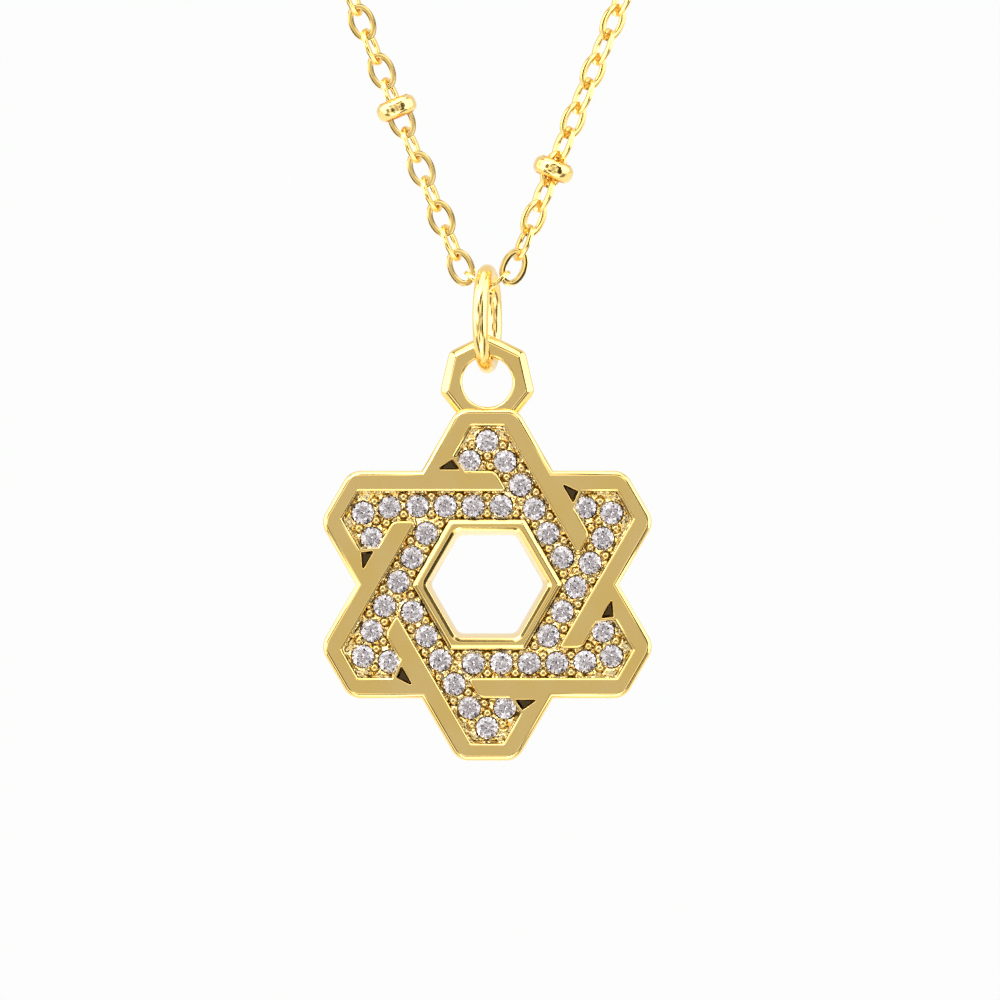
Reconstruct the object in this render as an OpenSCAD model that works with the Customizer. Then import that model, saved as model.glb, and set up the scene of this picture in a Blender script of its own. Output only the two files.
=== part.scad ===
// Star of David pendant with round stones, on a jump ring and a fine cable chain.
// Lengths are millimetres. The origin is where the clasp rests on the nape,
// +Z is up and the front of the pendant faces -Y.

/* [Star] */
// Distance from the star's centre to its six outer side lines
side_out = 6.43; // [6.3:0.01:6.6]
// Distance from the star's centre to its six cut-off corners
tip_out = 9.95; // [9.8:0.05:10.2]
// Width of the flat rim beside each channel
rim_w = 1.16; // [1.06:0.01:1.26]
// Width of the flat rim across each cut-off corner
tip_rim_w = 0.98; // [0.8:0.02:1.1]
// Width of the sunk channels that hold the stones
channel_w = 1.67; // [1.6:0.01:1.72]
// Depth of the channels below the rims
channel_d = 0.33; // [0.2:0.01:0.45]
// Thickness of the star
star_t = 1.8; // [1.6:0.05:2.4]
// Bevel round the front edge
bevel = 0.14; // [0.08:0.01:0.3]
// Height of the slope round the back edge
back_bevel = 0.12; // [0.05:0.01:0.2]
// Radius of the star's cut-off corners
tip_round = 1.1; // [0.6:0.05:1.4]
// Width of the slope outside the six-sided collar
collar_slope = 0.18; // [0.1:0.01:0.25]
// Width of the flat top of the collar
collar_w = 0.4; // [0.3:0.01:0.45]
// How much narrower the six-sided opening is at the back, on each side
hole_draft = 0.24; // [0.1:0.01:0.3]
// Radius of the blunt corner where a side's strip dips under its neighbour
end_round = 0.5; // [0.1:0.05:0.8]
// Radius of the corners of the six-sided opening
hole_round = 0.5; // [0.1:0.05:0.8]
// Depth of the six small pockets beside the corners
pocket_d = 0.9; // [0.5:0.05:1.1]
// Thickness of the thin wall beside each pocket
pocket_wall = 0.14; // [0.1:0.01:0.2]

/* [Stones] */
// Diameter of each round stone
stone_d = 1.25; // [1.1:0.01:1.3]
// Distance between two stones in a row
stone_pitch = 1.575; // [1.55:0.005:1.59]
// Distance between the two stones either side of a corner's middle line
pair_gap = 2.02; // [1.98:0.01:2.1]
// How much nearer to the star's centre these two lie than the row
pair_shift = 0.08; // [0:0.01:0.12]
// Gap between a corner's stone and the rim across the corner
tip_stone_gap = 0.24; // [0.1:0.01:0.3]
// Clearance between a stone and its seat
seat_gap = 0.03; // [0.02:0.01:0.06]
// Diameter of the beads of metal that hold the stones
grain_d = 0.43; // [0.3:0.01:0.46]

/* [Eye and jump ring] */
// How far the eye reaches down behind the star's upper corner
eye_sink = 0.97; // [0.8:0.01:1.2]
// Distance from the eye's middle to its seven corners
eye_r = 2.75; // [2.5:0.05:3]
// Thickness of the eye
eye_t = 1.2; // [0.9:0.05:1.4]
// Bevel round the eye's front edge
eye_bevel = 0.36; // [0.2:0.02:0.44]
// Diameter of the eye's round hole
eye_hole_d = 2.84; // [2.6:0.02:3]
// Chamfer at both ends of the eye's hole
eye_chamfer = 0.2; // [0.1:0.01:0.3]
// Thickness of the jump ring's wire
ring_wire = 0.85; // [0.7:0.01:0.95]
// Height of the jump ring over its wire
ring_l = 6.2; // [5.6:0.05:6.6]
// Width of the jump ring over its wire
ring_w = 5.2; // [5:0.05:5.6]
// Turn of the jump ring out of the fore-and-aft plane
ring_yaw = 10.9; // [0:0.1:15]
// Gap between the jump ring and the top of the eye's hole
hang_gap = 0.1; // [0.08:0.01:0.2]

/* [Chain] */
// Length of the whole loop, with the clasp
loop_l = 450; // [400:5:500]
// Slope of each side of the loop to the vertical
leg_angle = 22; // [20:0.5:26]
// Height of the part of the loop that hangs plumb on the chest
chest_h = 60; // [50:1:80]
// Radius of the bend where the loop goes back over the shoulders
shoulder_r = 60; // [50:1:75]
// Angle from plumb of the loop's part behind the shoulders
nape_lean = 65; // [50:1:75]
// Length of one link
link_l = 2.25; // [2.2:0.01:2.4]
// Width of one link
link_w = 1.52; // [1.46:0.01:1.6]
// Width of a link's wire, seen on its flat face
link_wire = 0.29; // [0.27:0.01:0.31]
// Thickness of a link through its flat faces
link_t = 0.3; // [0.26:0.01:0.32]
// Gap between two links where they hold each other
link_gap = 0.176; // [0.15:0.002:0.2]
// Turn of the right-hand strand's links about their own length
right_turn = 35; // [0:1:45]
// Slope to the horizontal of the two lowest links
low_slope = 40; // [36:1:42]
// Outside diameter of a bead
bead_d = 2.3; // [2.2:0.02:2.6]
// Length of a bead
bead_l = 1.05; // [0.8:0.05:1.2]
// Clearance between a bead and the chain inside it
bead_gap = 0.1; // [0.1:0.01:0.14]
// Number of link lengths from one bead to the next
bead_step = 13; // [13:1:26]
// Length of the clasp's barrel
clasp_l = 7; // [6:0.5:9]
// Diameter of the clasp's barrel
clasp_d = 3; // [2.6:0.1:3.6]
// Thickness of the wire of the clasp's two end rings
clasp_wire = 0.6; // [0.5:0.05:0.7]
// Hole in the clasp's two end rings
clasp_hole = 1.3; // [1.2:0.05:1.6]

/* [Hidden] */
SIDES = 6;
EYE_SIDES = 7;
ROUND_STEPS = 5;
$fn = 48;
gold = "#d9bd78";
gem = "#e2e2ec";
// Overrun of a cutting solid past the face it opens
over = 0.5;

// Star lines, each a distance from the centre
rim_in = side_out - rim_w;
channel_in = rim_in - channel_w;
row_at = (rim_in + channel_in) / 2;
tip_in = tip_out - tip_rim_w;
floor_h = star_t - channel_d;
collar_out = channel_in - collar_slope;
hole_front = collar_out - collar_w;
hole_back = hole_front - hole_draft;

// Small forms of the star
pocket_edge = 0.06;
pocket_reach = [-0.7, 0.47];
pocket_deep = 0.68;
tip_stone_at = tip_in - tip_stone_gap - stone_d / 2;
pair_at = 2 * (row_at - pair_shift - pair_gap / 2 * cos(30));
row_last = in_corner(-pair_gap / 2, pair_at);
row_room = row_last[0] + (channel_in - stone_d / 2 - row_at / 2) / cos(30);
STONES_IN_ROW = floor(row_room / stone_pitch) + 1;
STONES_A_SIDE = STONES_IN_ROW + 2;

// Beads of metal: their height, their gap to a stone, and their places beside the row
grain_sink = 0.3 * grain_d;
grain_gap = 0.05;
grain_reach = (stone_d + grain_d) / 2;
grain_out = rim_in - row_at - grain_d / 2 - grain_gap;
grain_in = sqrt(max(0, pow(grain_reach + grain_gap, 2) - pow(stone_pitch / 2, 2)));
flank_grain = [grain_reach + 0.04, -0.23];
near_grain = [-0.17, -1.42];

// Stone proportions, as shares of its diameter
TABLE = 0.57;
CROWN = 0.15;
GIRDLE = 0.04;
PAVILION = 0.4;
stone_skin = 0.004;
// Stones sit with their table this far under the rims
stone_sink = 0.04;
girdle_h = star_t - stone_sink - (CROWN + GIRDLE) * stone_d;

// Levels of the hanging pieces above the lowest point that the two sides of the loop point at
pitch = link_l - 2 * link_wire - link_gap;
// The two lowest links cross at this distance from their middles, and hang with more slack
tuck = 0.55;
low_pitch = pitch - 0.05;
low_rise = 42;
second_x = tuck * cos(low_slope) + low_pitch * cos(low_rise);
cross_z = second_x / tan(leg_angle) - tuck * sin(low_slope) - low_pitch * sin(low_rise);
second_s = second_x / sin(leg_angle);
ring_seat = 0.65;
ring_top = cross_z + ring_seat + ring_wire;
ring_mid = ring_top - ring_l / 2;
ring_turn_z = ring_top - ring_w / 2;
ring_low_z = ring_top - ring_l + ring_wire / 2;
eye_up = tip_out - eye_sink + eye_r * cos(180 / EYE_SIDES);
eye_z = ring_low_z + ring_wire / 2 + hang_gap - eye_hole_d / 2;
star_z = eye_z - eye_up;

// The loop: two straight sides that touch a round top
half_l = loop_l / 2;
turn_all = 90 + leg_angle;
apex_to_middle = half_l / (cos(leg_angle) + sin(leg_angle) * turn_all * PI / 180);
leg_l = apex_to_middle * cos(leg_angle);
round_r = apex_to_middle * sin(leg_angle);
bend_l = shoulder_r * nape_lean * PI / 180;
top_u = apex_to_middle + round_r;
nape = [0, back_of(top_u), up_of(top_u)];

// Chain counts
FRONT_LINKS = 14;
tube_d = link_w - 0.12;
tube_sides = 8;
tube_rings = 40;
tube_from = second_s + (FRONT_LINKS - 2) * pitch + link_l / 2 + bead_gap;
clasp_reach = clasp_l / 2 + clasp_hole + 1.5 * clasp_wire;
tube_to = half_l - clasp_reach - bead_gap;
LEFT_BEAD = 8.5;
RIGHT_BEAD = 6;
bead_bore = norm([link_w, link_t]) + 2 * bead_gap;
beads_a_side = floor((tube_to - second_s) / pitch / bead_step);
// How far the two lowest links stand apart, front to back, and over how many links it fades
low_apart = 0.3;
fade_links = 5;

function stone_name(i) = str("stone_", i < 9 ? "0" : "", i + 1);

// A place where a line at distance a below the centre meets the next side's line at distance b
function meet(a, b) = [(b - a / 2) / cos(30), -a];

function spin2(p, a) = [p[0] * cos(a) - p[1] * sin(a), p[0] * sin(a) + p[1] * cos(a)];

function towards(a) = [cos(a), sin(a)];

// An outline of six lines, by turns at the distances side and tip, with corners of radius r
function six_sided(side, tip, r) = [
  for (k = [0:SIDES - 1])
    let (look = 60 * k - 90, near = k % 2 == 0 ? side : tip, far = k % 2 == 0 ? tip : side,
         corner = near * towards(look) + (far - near / 2) / cos(30) * towards(look + 90),
         middle = corner - r / cos(30) * towards(look + 30))
    for (j = [0:r > 0 ? ROUND_STEPS : 0]) middle + r * towards(look + 60 * j / ROUND_STEPS)];

// A place in a corner: c across its middle line, r along it. The corner points to -30 degrees
function in_corner(c, r) = spin2([r, c], -30);

// The seven stones of one side: a row, the corner's stone and the one across the corner
function row_stones() = concat(
  [for (i = [STONES_IN_ROW - 1:-1:1]) [row_last[0] - i * stone_pitch, -row_at]], [row_last]);
function side_stones() = concat(
  row_stones(), [in_corner(0, tip_stone_at)], [in_corner(pair_gap / 2, pair_at)]);

function stone_places() = [for (k = [0:SIDES - 1]) for (p = side_stones()) spin2(p, 60 * k)];

// The beads of one side: two between each two stones, one before the first and four in the corner
function side_grains() = let (row = row_stones()) concat(
  [for (i = [1:STONES_IN_ROW - 1]) for (step = [-grain_out, grain_in])
     (row[i - 1] + row[i]) / 2 + [0, step]],
  [row[0] + [-grain_reach, grain_in]],
  [in_corner(0, tip_stone_at - grain_reach - 0.01)],
  [in_corner(near_grain[0], tip_stone_at + near_grain[1])],
  [for (s = [-1, 1]) in_corner(s * flank_grain[0], tip_stone_at + flank_grain[1])]);

// The loop is laid out flat, x across and u up, and then bent back over the shoulders
function lean_at(u) = min(max(u - chest_h, 0) / shoulder_r * 180 / PI, nape_lean);
function back_of(u) = shoulder_r * (1 - cos(lean_at(u))) + max(u - chest_h - bend_l, 0) * sin(nape_lean);
function up_of(u) = min(u, chest_h) + shoulder_r * sin(lean_at(u))
                    + max(u - chest_h - bend_l, 0) * cos(nape_lean);
function turned_at(s) = max(s - leg_l, 0) / round_r * 180 / PI - leg_angle;
function flat_at(s) = s < leg_l
  ? [s * sin(leg_angle), s * cos(leg_angle)]
  : [round_r * cos(turned_at(s)), apex_to_middle + round_r * sin(turned_at(s))];

// A frame on one strand at length s: its place, its direction and the way its face looks
function place_at(side, s) = let (p = flat_at(s)) [side * p[0], back_of(p[1]), up_of(p[1])] - nape;
function along_at(side, s) = let (a = turned_at(s), b = lean_at(flat_at(s)[1]))
  [-side * sin(a), cos(a) * sin(b), cos(a) * cos(b)];
function face_at(s) = let (b = lean_at(flat_at(s)[1])) [0, -cos(b), sin(b)];

module on_strand(side, s, apart = 0) {
  t = along_at(side, s);
  f = face_at(s);
  x = cross(f, t);
  p = place_at(side, s) + [0, apart, 0];
  multmatrix([[x[0], f[0], t[0], p[0]], [x[1], f[1], t[1], p[1]], [x[2], f[2], t[2], p[2]]])
    children();
}

module cut_triangle(side, tip, r = 0) {
  polygon(six_sided(side, tip, r));
}

module hexagon(side, r = 0) {
  cut_triangle(side, side, r);
}

module bevelled_triangle() {
  hull() {
    translate([0, 0, back_bevel])
      linear_extrude(star_t - back_bevel - bevel) cut_triangle(side_out, tip_out, tip_round);
    linear_extrude(star_t) cut_triangle(side_out - bevel, tip_out - bevel, tip_round);
  }
}

// One side's strip between two distances from the centre
module side_strip(from, to) {
  translate([-2 * side_out, -to]) square([4 * side_out, to - from]);
}

// What is taken off the blunt corner of a strip's end to round it
module end_trim() {
  middle = [(side_out / 2 - channel_in) / cos(30) + end_round / tan(60), end_round - side_out];
  round = [for (j = [0:ROUND_STEPS]) middle + end_round * towards(-90 - 60 * j / ROUND_STEPS)];
  polygon(concat(round, [for (look = [-150, -90]) middle + (end_round + over) * towards(look)]));
}

// The rims: each side's strip runs over one neighbour's channel and under the other's
module rims() {
  for (k = [0:SIDES - 1]) rotate(60 * k) difference() {
    side_strip(rim_in, side_out);
    rotate(-60) side_strip(channel_in, rim_in);
    end_trim();
  }
}

function pocket_corners() = [
  meet(side_out + pocket_edge, rim_in + pocket_reach[0]),
  meet(side_out + pocket_edge, rim_in + pocket_reach[1]),
  meet(side_out + pocket_deep, rim_in)];

// The raised land that holds each pocket, with the pocket's thin wall at its edge
module pocket_lands() {
  p = pocket_corners();
  along = (p[2] - p[0]) / norm(p[2] - p[0]);
  out = pocket_wall * [along[1], -along[0]];
  for (k = [0:SIDES - 1]) rotate(60 * k)
    polygon([p[0] + out - over * along, p[2] + out + over * along, p[1], p[1] + [0, 2 * pocket_edge]]);
}

module channel_floors() {
  difference() {
    union() {
      cut_triangle(rim_in, tip_in);
      rotate(180) cut_triangle(rim_in, tip_in);
    }
    rims();
    pocket_lands();
  }
}

module collar() {
  translate([0, 0, back_bevel]) hull() {
    linear_extrude(floor_h - back_bevel) hexagon(channel_in);
    linear_extrude(star_t - back_bevel) hexagon(collar_out);
  }
}

module hole_cutter() {
  hull() {
    translate([0, 0, -over]) linear_extrude(over) hexagon(hole_back, hole_round);
    translate([0, 0, star_t]) linear_extrude(over) hexagon(hole_front, hole_round);
  }
}

module seat() {
  translate([0, 0, girdle_h - seat_gap]) cylinder(h = star_t, r = stone_d / 2 + seat_gap);
  translate([0, 0, girdle_h - PAVILION * stone_d - seat_gap])
    cylinder(h = PAVILION * stone_d, r1 = 0.1, r2 = stone_d / 2 + seat_gap);
}

module eye_blank() {
  hull() {
    linear_extrude(eye_t - eye_bevel) circle(r = eye_r, $fn = EYE_SIDES);
    linear_extrude(eye_t) circle(r = eye_r - eye_bevel, $fn = EYE_SIDES);
  }
}

module eye_cutter() {
  translate([0, 0, -over]) cylinder(h = eye_t + 2 * over, d = eye_hole_d);
  for (end = [0, 1]) translate([0, 0, end * eye_t]) mirror([0, 0, end]) translate([0, 0, -over])
    cylinder(h = over + eye_chamfer, r1 = eye_hole_d / 2 + eye_chamfer + over, r2 = eye_hole_d / 2);
}

module star_blank() {
  bevelled_triangle();
  rotate(180) bevelled_triangle();
  translate([0, eye_up, (star_t - eye_t) / 2]) rotate(90) eye_blank();
}

// Lays a flat drawing upright, with its front towards -Y and its middle at depth zero
module upright(z, t) {
  translate([0, t / 2, z] - nape) rotate([90, 0, 0]) children();
}

module star() color(gold) {
  upright(star_z, star_t) {
    difference() {
      union() {
        difference() {
          star_blank();
          translate([0, 0, floor_h]) linear_extrude(star_t) channel_floors();
        }
        collar();
      }
      for (k = [0:SIDES - 1]) rotate(60 * k)
        translate([0, 0, star_t - pocket_d]) linear_extrude(star_t) polygon(pocket_corners());
      hole_cutter();
      translate([0, eye_up, (star_t - eye_t) / 2]) eye_cutter();
      for (p = stone_places()) translate(p) seat();
    }
    for (k = [0:SIDES - 1]) for (p = side_grains())
      translate([0, 0, floor_h - grain_sink]) rotate(60 * k) translate(p) sphere(d = grain_d);
  }
}

module brilliant() {
  hull() {
    translate([0, 0, (CROWN + GIRDLE) * stone_d - stone_skin])
      cylinder(h = stone_skin, d = TABLE * stone_d, $fn = 8);
    cylinder(h = GIRDLE * stone_d, d = stone_d, $fn = 16);
    translate([0, 0, -PAVILION * stone_d]) cylinder(h = stone_skin, d = stone_skin, $fn = 8);
  }
}

module stone(i) color(gem) {
  p = stone_places()[i];
  upright(star_z, star_t) translate([p[0], p[1], girdle_h]) brilliant();
}

// An oval ring along Z, of wire drawn by its child round the origin
module oval(length, width, wire) {
  r = (width - wire) / 2;
  straight = length - width;
  for (end = [0, 1]) rotate([0, 180 * end, 0]) translate([0, 0, straight / 2]) rotate([90, 0, 0])
    rotate_extrude(angle = 180) translate([r, 0]) children();
  for (s = [-1, 1]) translate([s * r, 0, 0]) linear_extrude(straight, center = true) children();
}

module jump_ring() color(gold) {
  translate([0, 0, ring_mid] - nape) rotate(90 - ring_yaw) oval(ring_l, ring_w, ring_wire)
    circle(d = ring_wire);
}

module link_section() {
  intersection() {
    circle(r = 0.85 * link_t / sqrt(2));
    square([link_wire, link_t], center = true);
  }
}

module link(turn) {
  rotate(turn) oval(link_l, link_w, link_wire) link_section();
}

module low_link(side) {
  translate([side * tuck * cos(low_slope), -side * low_apart, cross_z + tuck * sin(low_slope)] - nape)
    rotate([0, side * (90 - low_slope), 0]) link(90);
}

module chain_front() color(gold) {
  for (side = [-1, 1]) {
    low_link(side);
    for (k = [2:FRONT_LINKS])
      on_strand(side, second_s + (k - 2) * pitch, -side * low_apart * max(0, 1 - (k - 1) / fade_links))
        link(90 * (k % 2) + max(side, 0) * right_turn * min(1, (k - 1) / 3));
  }
}

// The points of one ring of the plain tube
function tube_ring(side, s) = let (p = place_at(side, s), t = along_at(side, s), f = face_at(s),
                                   x = cross(f, t), r = tube_d / 2)
  [for (i = [0:tube_sides - 1]) p + r * (cos(360 * i / tube_sides) * x + sin(360 * i / tube_sides) * f)];

module strand_tube(side) {
  step = (tube_to - tube_from) / (tube_rings - 1);
  n = tube_sides;
  last = tube_rings - 1;
  points = [for (j = [0:last]) each tube_ring(side, tube_from + j * step)];
  walls = [for (j = [0:last - 1]) for (i = [0:n - 1])
             [j * n + i, (j + 1) * n + i, (j + 1) * n + (i + 1) % n, j * n + (i + 1) % n]];
  ends = [[for (i = [0:n - 1]) i], [for (i = [0:n - 1]) last * n + n - 1 - i]];
  polyhedron(points, concat(walls, ends), convexity = 10);
}

module chain_back() color(gold) {
  for (side = [-1, 1]) strand_tube(side);
}

module bead() {
  rotate_extrude() intersection() {
    translate([(bead_d - bead_l) / 2, 0]) circle(d = bead_l);
    translate([bead_bore / 2, -bead_l / 2]) square([bead_d, bead_l]);
  }
}

module beads() color(gold) {
  for (j = [0:beads_a_side - 1]) {
    on_strand(-1, second_s + (LEFT_BEAD - 2 + j * bead_step) * pitch) bead();
    on_strand(1, second_s + (RIGHT_BEAD - 2 + j * bead_step) * pitch) bead();
  }
}

module clasp() color(gold) {
  cap = clasp_d / 6;
  rotate([0, 90, 0]) rotate_extrude() polygon([
    [0, -clasp_l / 2], [clasp_d / 2 - cap, -clasp_l / 2], [clasp_d / 2, cap - clasp_l / 2],
    [clasp_d / 2, clasp_l / 2 - cap], [clasp_d / 2 - cap, clasp_l / 2], [0, clasp_l / 2]]);
  for (s = [-1, 1]) translate([s * (clasp_l / 2 + clasp_hole / 2 + 0.4 * clasp_wire), 0, 0])
    rotate_extrude() translate([(clasp_hole + clasp_wire) / 2, 0]) circle(d = clasp_wire);
}

star();
for (i = [0:SIDES * STONES_A_SIDE - 1])
  stone(i);
jump_ring();
chain_front();
chain_back();
beads();
clasp();
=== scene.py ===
"""Looks of a stone-set star pendant on its chain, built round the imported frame.

Every piece is drawn in metres in the frame's own place: +Z is up, the pendant's stones face -Y,
and the origin is the middle of the clasp, on the nape.
"""

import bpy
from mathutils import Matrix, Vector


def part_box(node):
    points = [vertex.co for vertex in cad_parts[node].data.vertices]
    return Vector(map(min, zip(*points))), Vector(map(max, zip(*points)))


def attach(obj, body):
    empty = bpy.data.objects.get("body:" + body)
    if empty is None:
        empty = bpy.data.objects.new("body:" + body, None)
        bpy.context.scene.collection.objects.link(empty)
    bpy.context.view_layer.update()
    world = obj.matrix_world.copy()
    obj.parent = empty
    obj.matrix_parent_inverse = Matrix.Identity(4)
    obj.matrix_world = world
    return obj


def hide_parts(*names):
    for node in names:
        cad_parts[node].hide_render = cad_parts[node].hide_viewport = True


bl_info = {
    "name": "Star pendant on a chain",
    "version": (1, 0, 0),
    "blender": (4, 5, 0),
    "location": "View3D > Sidebar > Pendant",
    "description": "Builds a stone-set star pendant with its ring, chain and clasp in a plain studio",
    "category": "Add Mesh",
}

import math
from types import SimpleNamespace

import bmesh
import bpy
from bpy.props import FloatProperty, FloatVectorProperty, IntProperty, PointerProperty
from mathutils import Matrix, Vector, kdtree, noise
from mathutils.geometry import delaunay_2d_cdt

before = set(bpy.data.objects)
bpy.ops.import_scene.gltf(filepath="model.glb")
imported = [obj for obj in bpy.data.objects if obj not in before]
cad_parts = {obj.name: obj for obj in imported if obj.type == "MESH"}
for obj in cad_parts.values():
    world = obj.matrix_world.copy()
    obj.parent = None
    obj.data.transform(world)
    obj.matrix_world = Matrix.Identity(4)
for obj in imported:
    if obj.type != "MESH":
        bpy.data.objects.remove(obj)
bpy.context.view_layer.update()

MM = 0.001
SIDES = 6
SEAT_POINTS = 24
EYE_SIDES = 7
COS30 = math.cos(math.radians(30))
# A round brilliant's heights, its table and the points where its lower facets part, as shares of its width
TABLE_WIDE = 0.57
CROWN_HIGH = 0.15
GIRDLE_HIGH = 0.04
PAVILION_HIGH = 0.43
LOWER_PARTING = 0.26
STONE_NODES = sorted(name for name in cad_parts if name.startswith("stone_"))


def length(name, description, size_mm):
    """A size that the sidebar shows in the scene's own units."""
    return FloatProperty(name=name, description=description, default=size_mm * MM, unit="LENGTH", precision=5)


def angle(name, description, degrees):
    """An angle that the sidebar shows in degrees."""
    return FloatProperty(name=name, description=description, default=math.radians(degrees), unit="ROTATION")


def whole_number(name, description, number, least):
    """A count or a seed."""
    return IntProperty(name=name, description=description, default=number, min=least)


def plain_number(name, description, number):
    """A number without a unit."""
    return FloatProperty(name=name, description=description, default=number)


def linear(hex_colour):
    """Turns an sRGB hex colour to the linear colour that shaders use."""
    channels = [int(hex_colour[i:i + 2], 16) / 255 for i in (0, 2, 4)]
    return [c / 12.92 if c <= 0.04045 else ((c + 0.055) / 1.055) ** 2.4 for c in channels]


def colour(name, description, hex_colour):
    """A colour that the sidebar shows as a swatch."""
    return FloatVectorProperty(name=name, description=description, default=linear(hex_colour),
                               size=3, min=0, max=1, subtype="COLOR")


class StarSizes(bpy.types.PropertyGroup):
    """Sizes of the cast star."""
    side_out: length("Side distance", "From the star's centre to its six outer side lines", 6.43)
    tip_out: length("Corner distance", "From the star's centre to its six cut-off corners", 9.95)
    rim: length("Rim width", "Width of the flat rim beside each channel", 1.16)
    tip_rim: length("Corner rim width", "Width of the flat rim across each cut-off corner", 0.98)
    channel: length("Channel width", "Width of the sunk channels that hold the stones", 1.67)
    channel_deep: length("Channel depth", "Depth of the channels below the rims", 0.33)
    thick: length("Thickness", "Thickness of the star", 1.8)
    tip_round: length("Corner radius", "Radius of the star's cut-off corners, seen from the front", 1.1)
    end_round: length("Strip end radius", "Radius of the blunt corner where a strip dips under", 0.5)
    acute_round: length("Sharp end radius", "Radius of the sharp corner of a strip's end", 0.16)
    outer_edge: length("Outer edge", "Width of the rounded edge round the outside", 0.3)
    inner_edge: length("Inner edge", "Width of the rounded edge beside the channels", 0.15)
    fine_edge: length("Fine edge", "Width of the rounded edges of the pockets and their walls", 0.03)
    back_edge: length("Back edge", "Width of the slope round the back", 0.12)
    collar_slope: length("Collar slope", "Width of the slope outside the six-sided collar", 0.18)
    collar: length("Collar width", "Width of the collar's flat top with its inner slope", 0.4)
    collar_bevel: length("Collar bevel", "How far the collar's top slopes down before its steep side", 0.15)
    collar_foot: length("Collar foot", "How far the collar's slope reaches out past the channel's line", 0.1)
    inner_slope: length("Inner slope", "Width of the slight slope inside the collar's flat top", 0.26)
    inner_drop: length("Inner slope drop", "How far that slope falls towards the opening", 0.1)
    collar_round: length("Collar corners", "Radius of the collar's outer corners", 0.16)
    hole_round: length("Opening corners", "Radius of the corners of the six-sided opening", 0.5)
    hole_draft: length("Opening draft", "How much narrower the opening is at the back, on each side", 0.24)
    pocket_deep: length("Pocket depth", "Depth of the six small pockets beside the corners", 0.5)
    pocket_floor: plain_number("Pocket floor", "Size of a pocket's floor against its mouth", 0.6)
    pocket_wall: length("Pocket wall", "Thickness of the thin wall beside each pocket", 0.14)


class StoneSizes(bpy.types.PropertyGroup):
    """Sizes of the stones and of the grains that hold them."""
    size: length("Stone size", "Diameter of each round stone", 1.25)
    pitch: length("Stone pitch", "Distance between two stones in a row", 1.575)
    pair_gap: length("Pair gap", "Distance between the two stones either side of a corner's middle", 2.02)
    pair_shift: length("Pair shift", "How much nearer to the star's centre these two lie than the row", 0.08)
    tip_gap: length("Corner stone gap", "Gap between a corner's stone and the rim", 0.24)
    sink: length("Stone sink", "How far the tables lie under the rims", 0.04)
    seat: length("Seat clearance", "How much wider a seat is than its stone, on each side", 0.015)
    tilt: angle("Stone tilt", "Most that a stone leans in its seat", 4)
    grain: length("Grain size", "Diameter of the raised grains of metal that hold the stones", 0.43)
    grain_gap: length("Grain gap", "Gap between a grain and its stones", 0.05)
    grain_high: length("Grain height", "Height of a grain above the channel's floor", 0.2)
    cut_grid: length("Cut grid", "Distance between the points that shape the cut floor", 0.08)
    cut_ridge: length("Ridge", "Height of the ridge that the tools raise round each stone", 0.07)
    cut_moat: length("Moat", "Depth of the ring cut round each grain", 0.1)
    cut_rough: length("Tool marks", "Height of the uneven marks on the cut floor", 0.05)
    seed: whole_number("Stone seed", "Chooses the turn and lean of each stone", 5, 0)


class RingSizes(bpy.types.PropertyGroup):
    """Sizes of the eye on the star and of the jump ring."""
    eye_sink: length("Eye sink", "How far the eye reaches down behind the star's upper corner", 0.97)
    eye_r: length("Eye corner distance", "From the eye's middle to its seven corners", 2.75)
    eye_thick: length("Eye thickness", "Thickness of the eye", 1.2)
    eye_bevel: length("Eye bevel", "Width of the bevel round the eye's front", 0.36)
    eye_soft: length("Eye softness", "How far the polish has rounded the edges of the eye's bevel", 0.13)
    eye_hole: length("Eye hole", "Diameter of the eye's round hole", 2.84)
    eye_hole_edge: length("Eye hole edge", "Radius of the rounded edges of the eye's hole", 0.16)
    eye_corner: length("Eye corners", "Radius of the eye's seven corners", 0.55)
    wire: length("Ring wire", "Thickness of the jump ring's wire", 0.85)
    high: length("Ring height", "Height of the jump ring over its wire", 6.2)
    wide: length("Ring width", "Width of the jump ring over its wire", 5.2)
    yaw: angle("Ring yaw", "Turn of the jump ring out of the fore-and-aft plane", 10.9)


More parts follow.
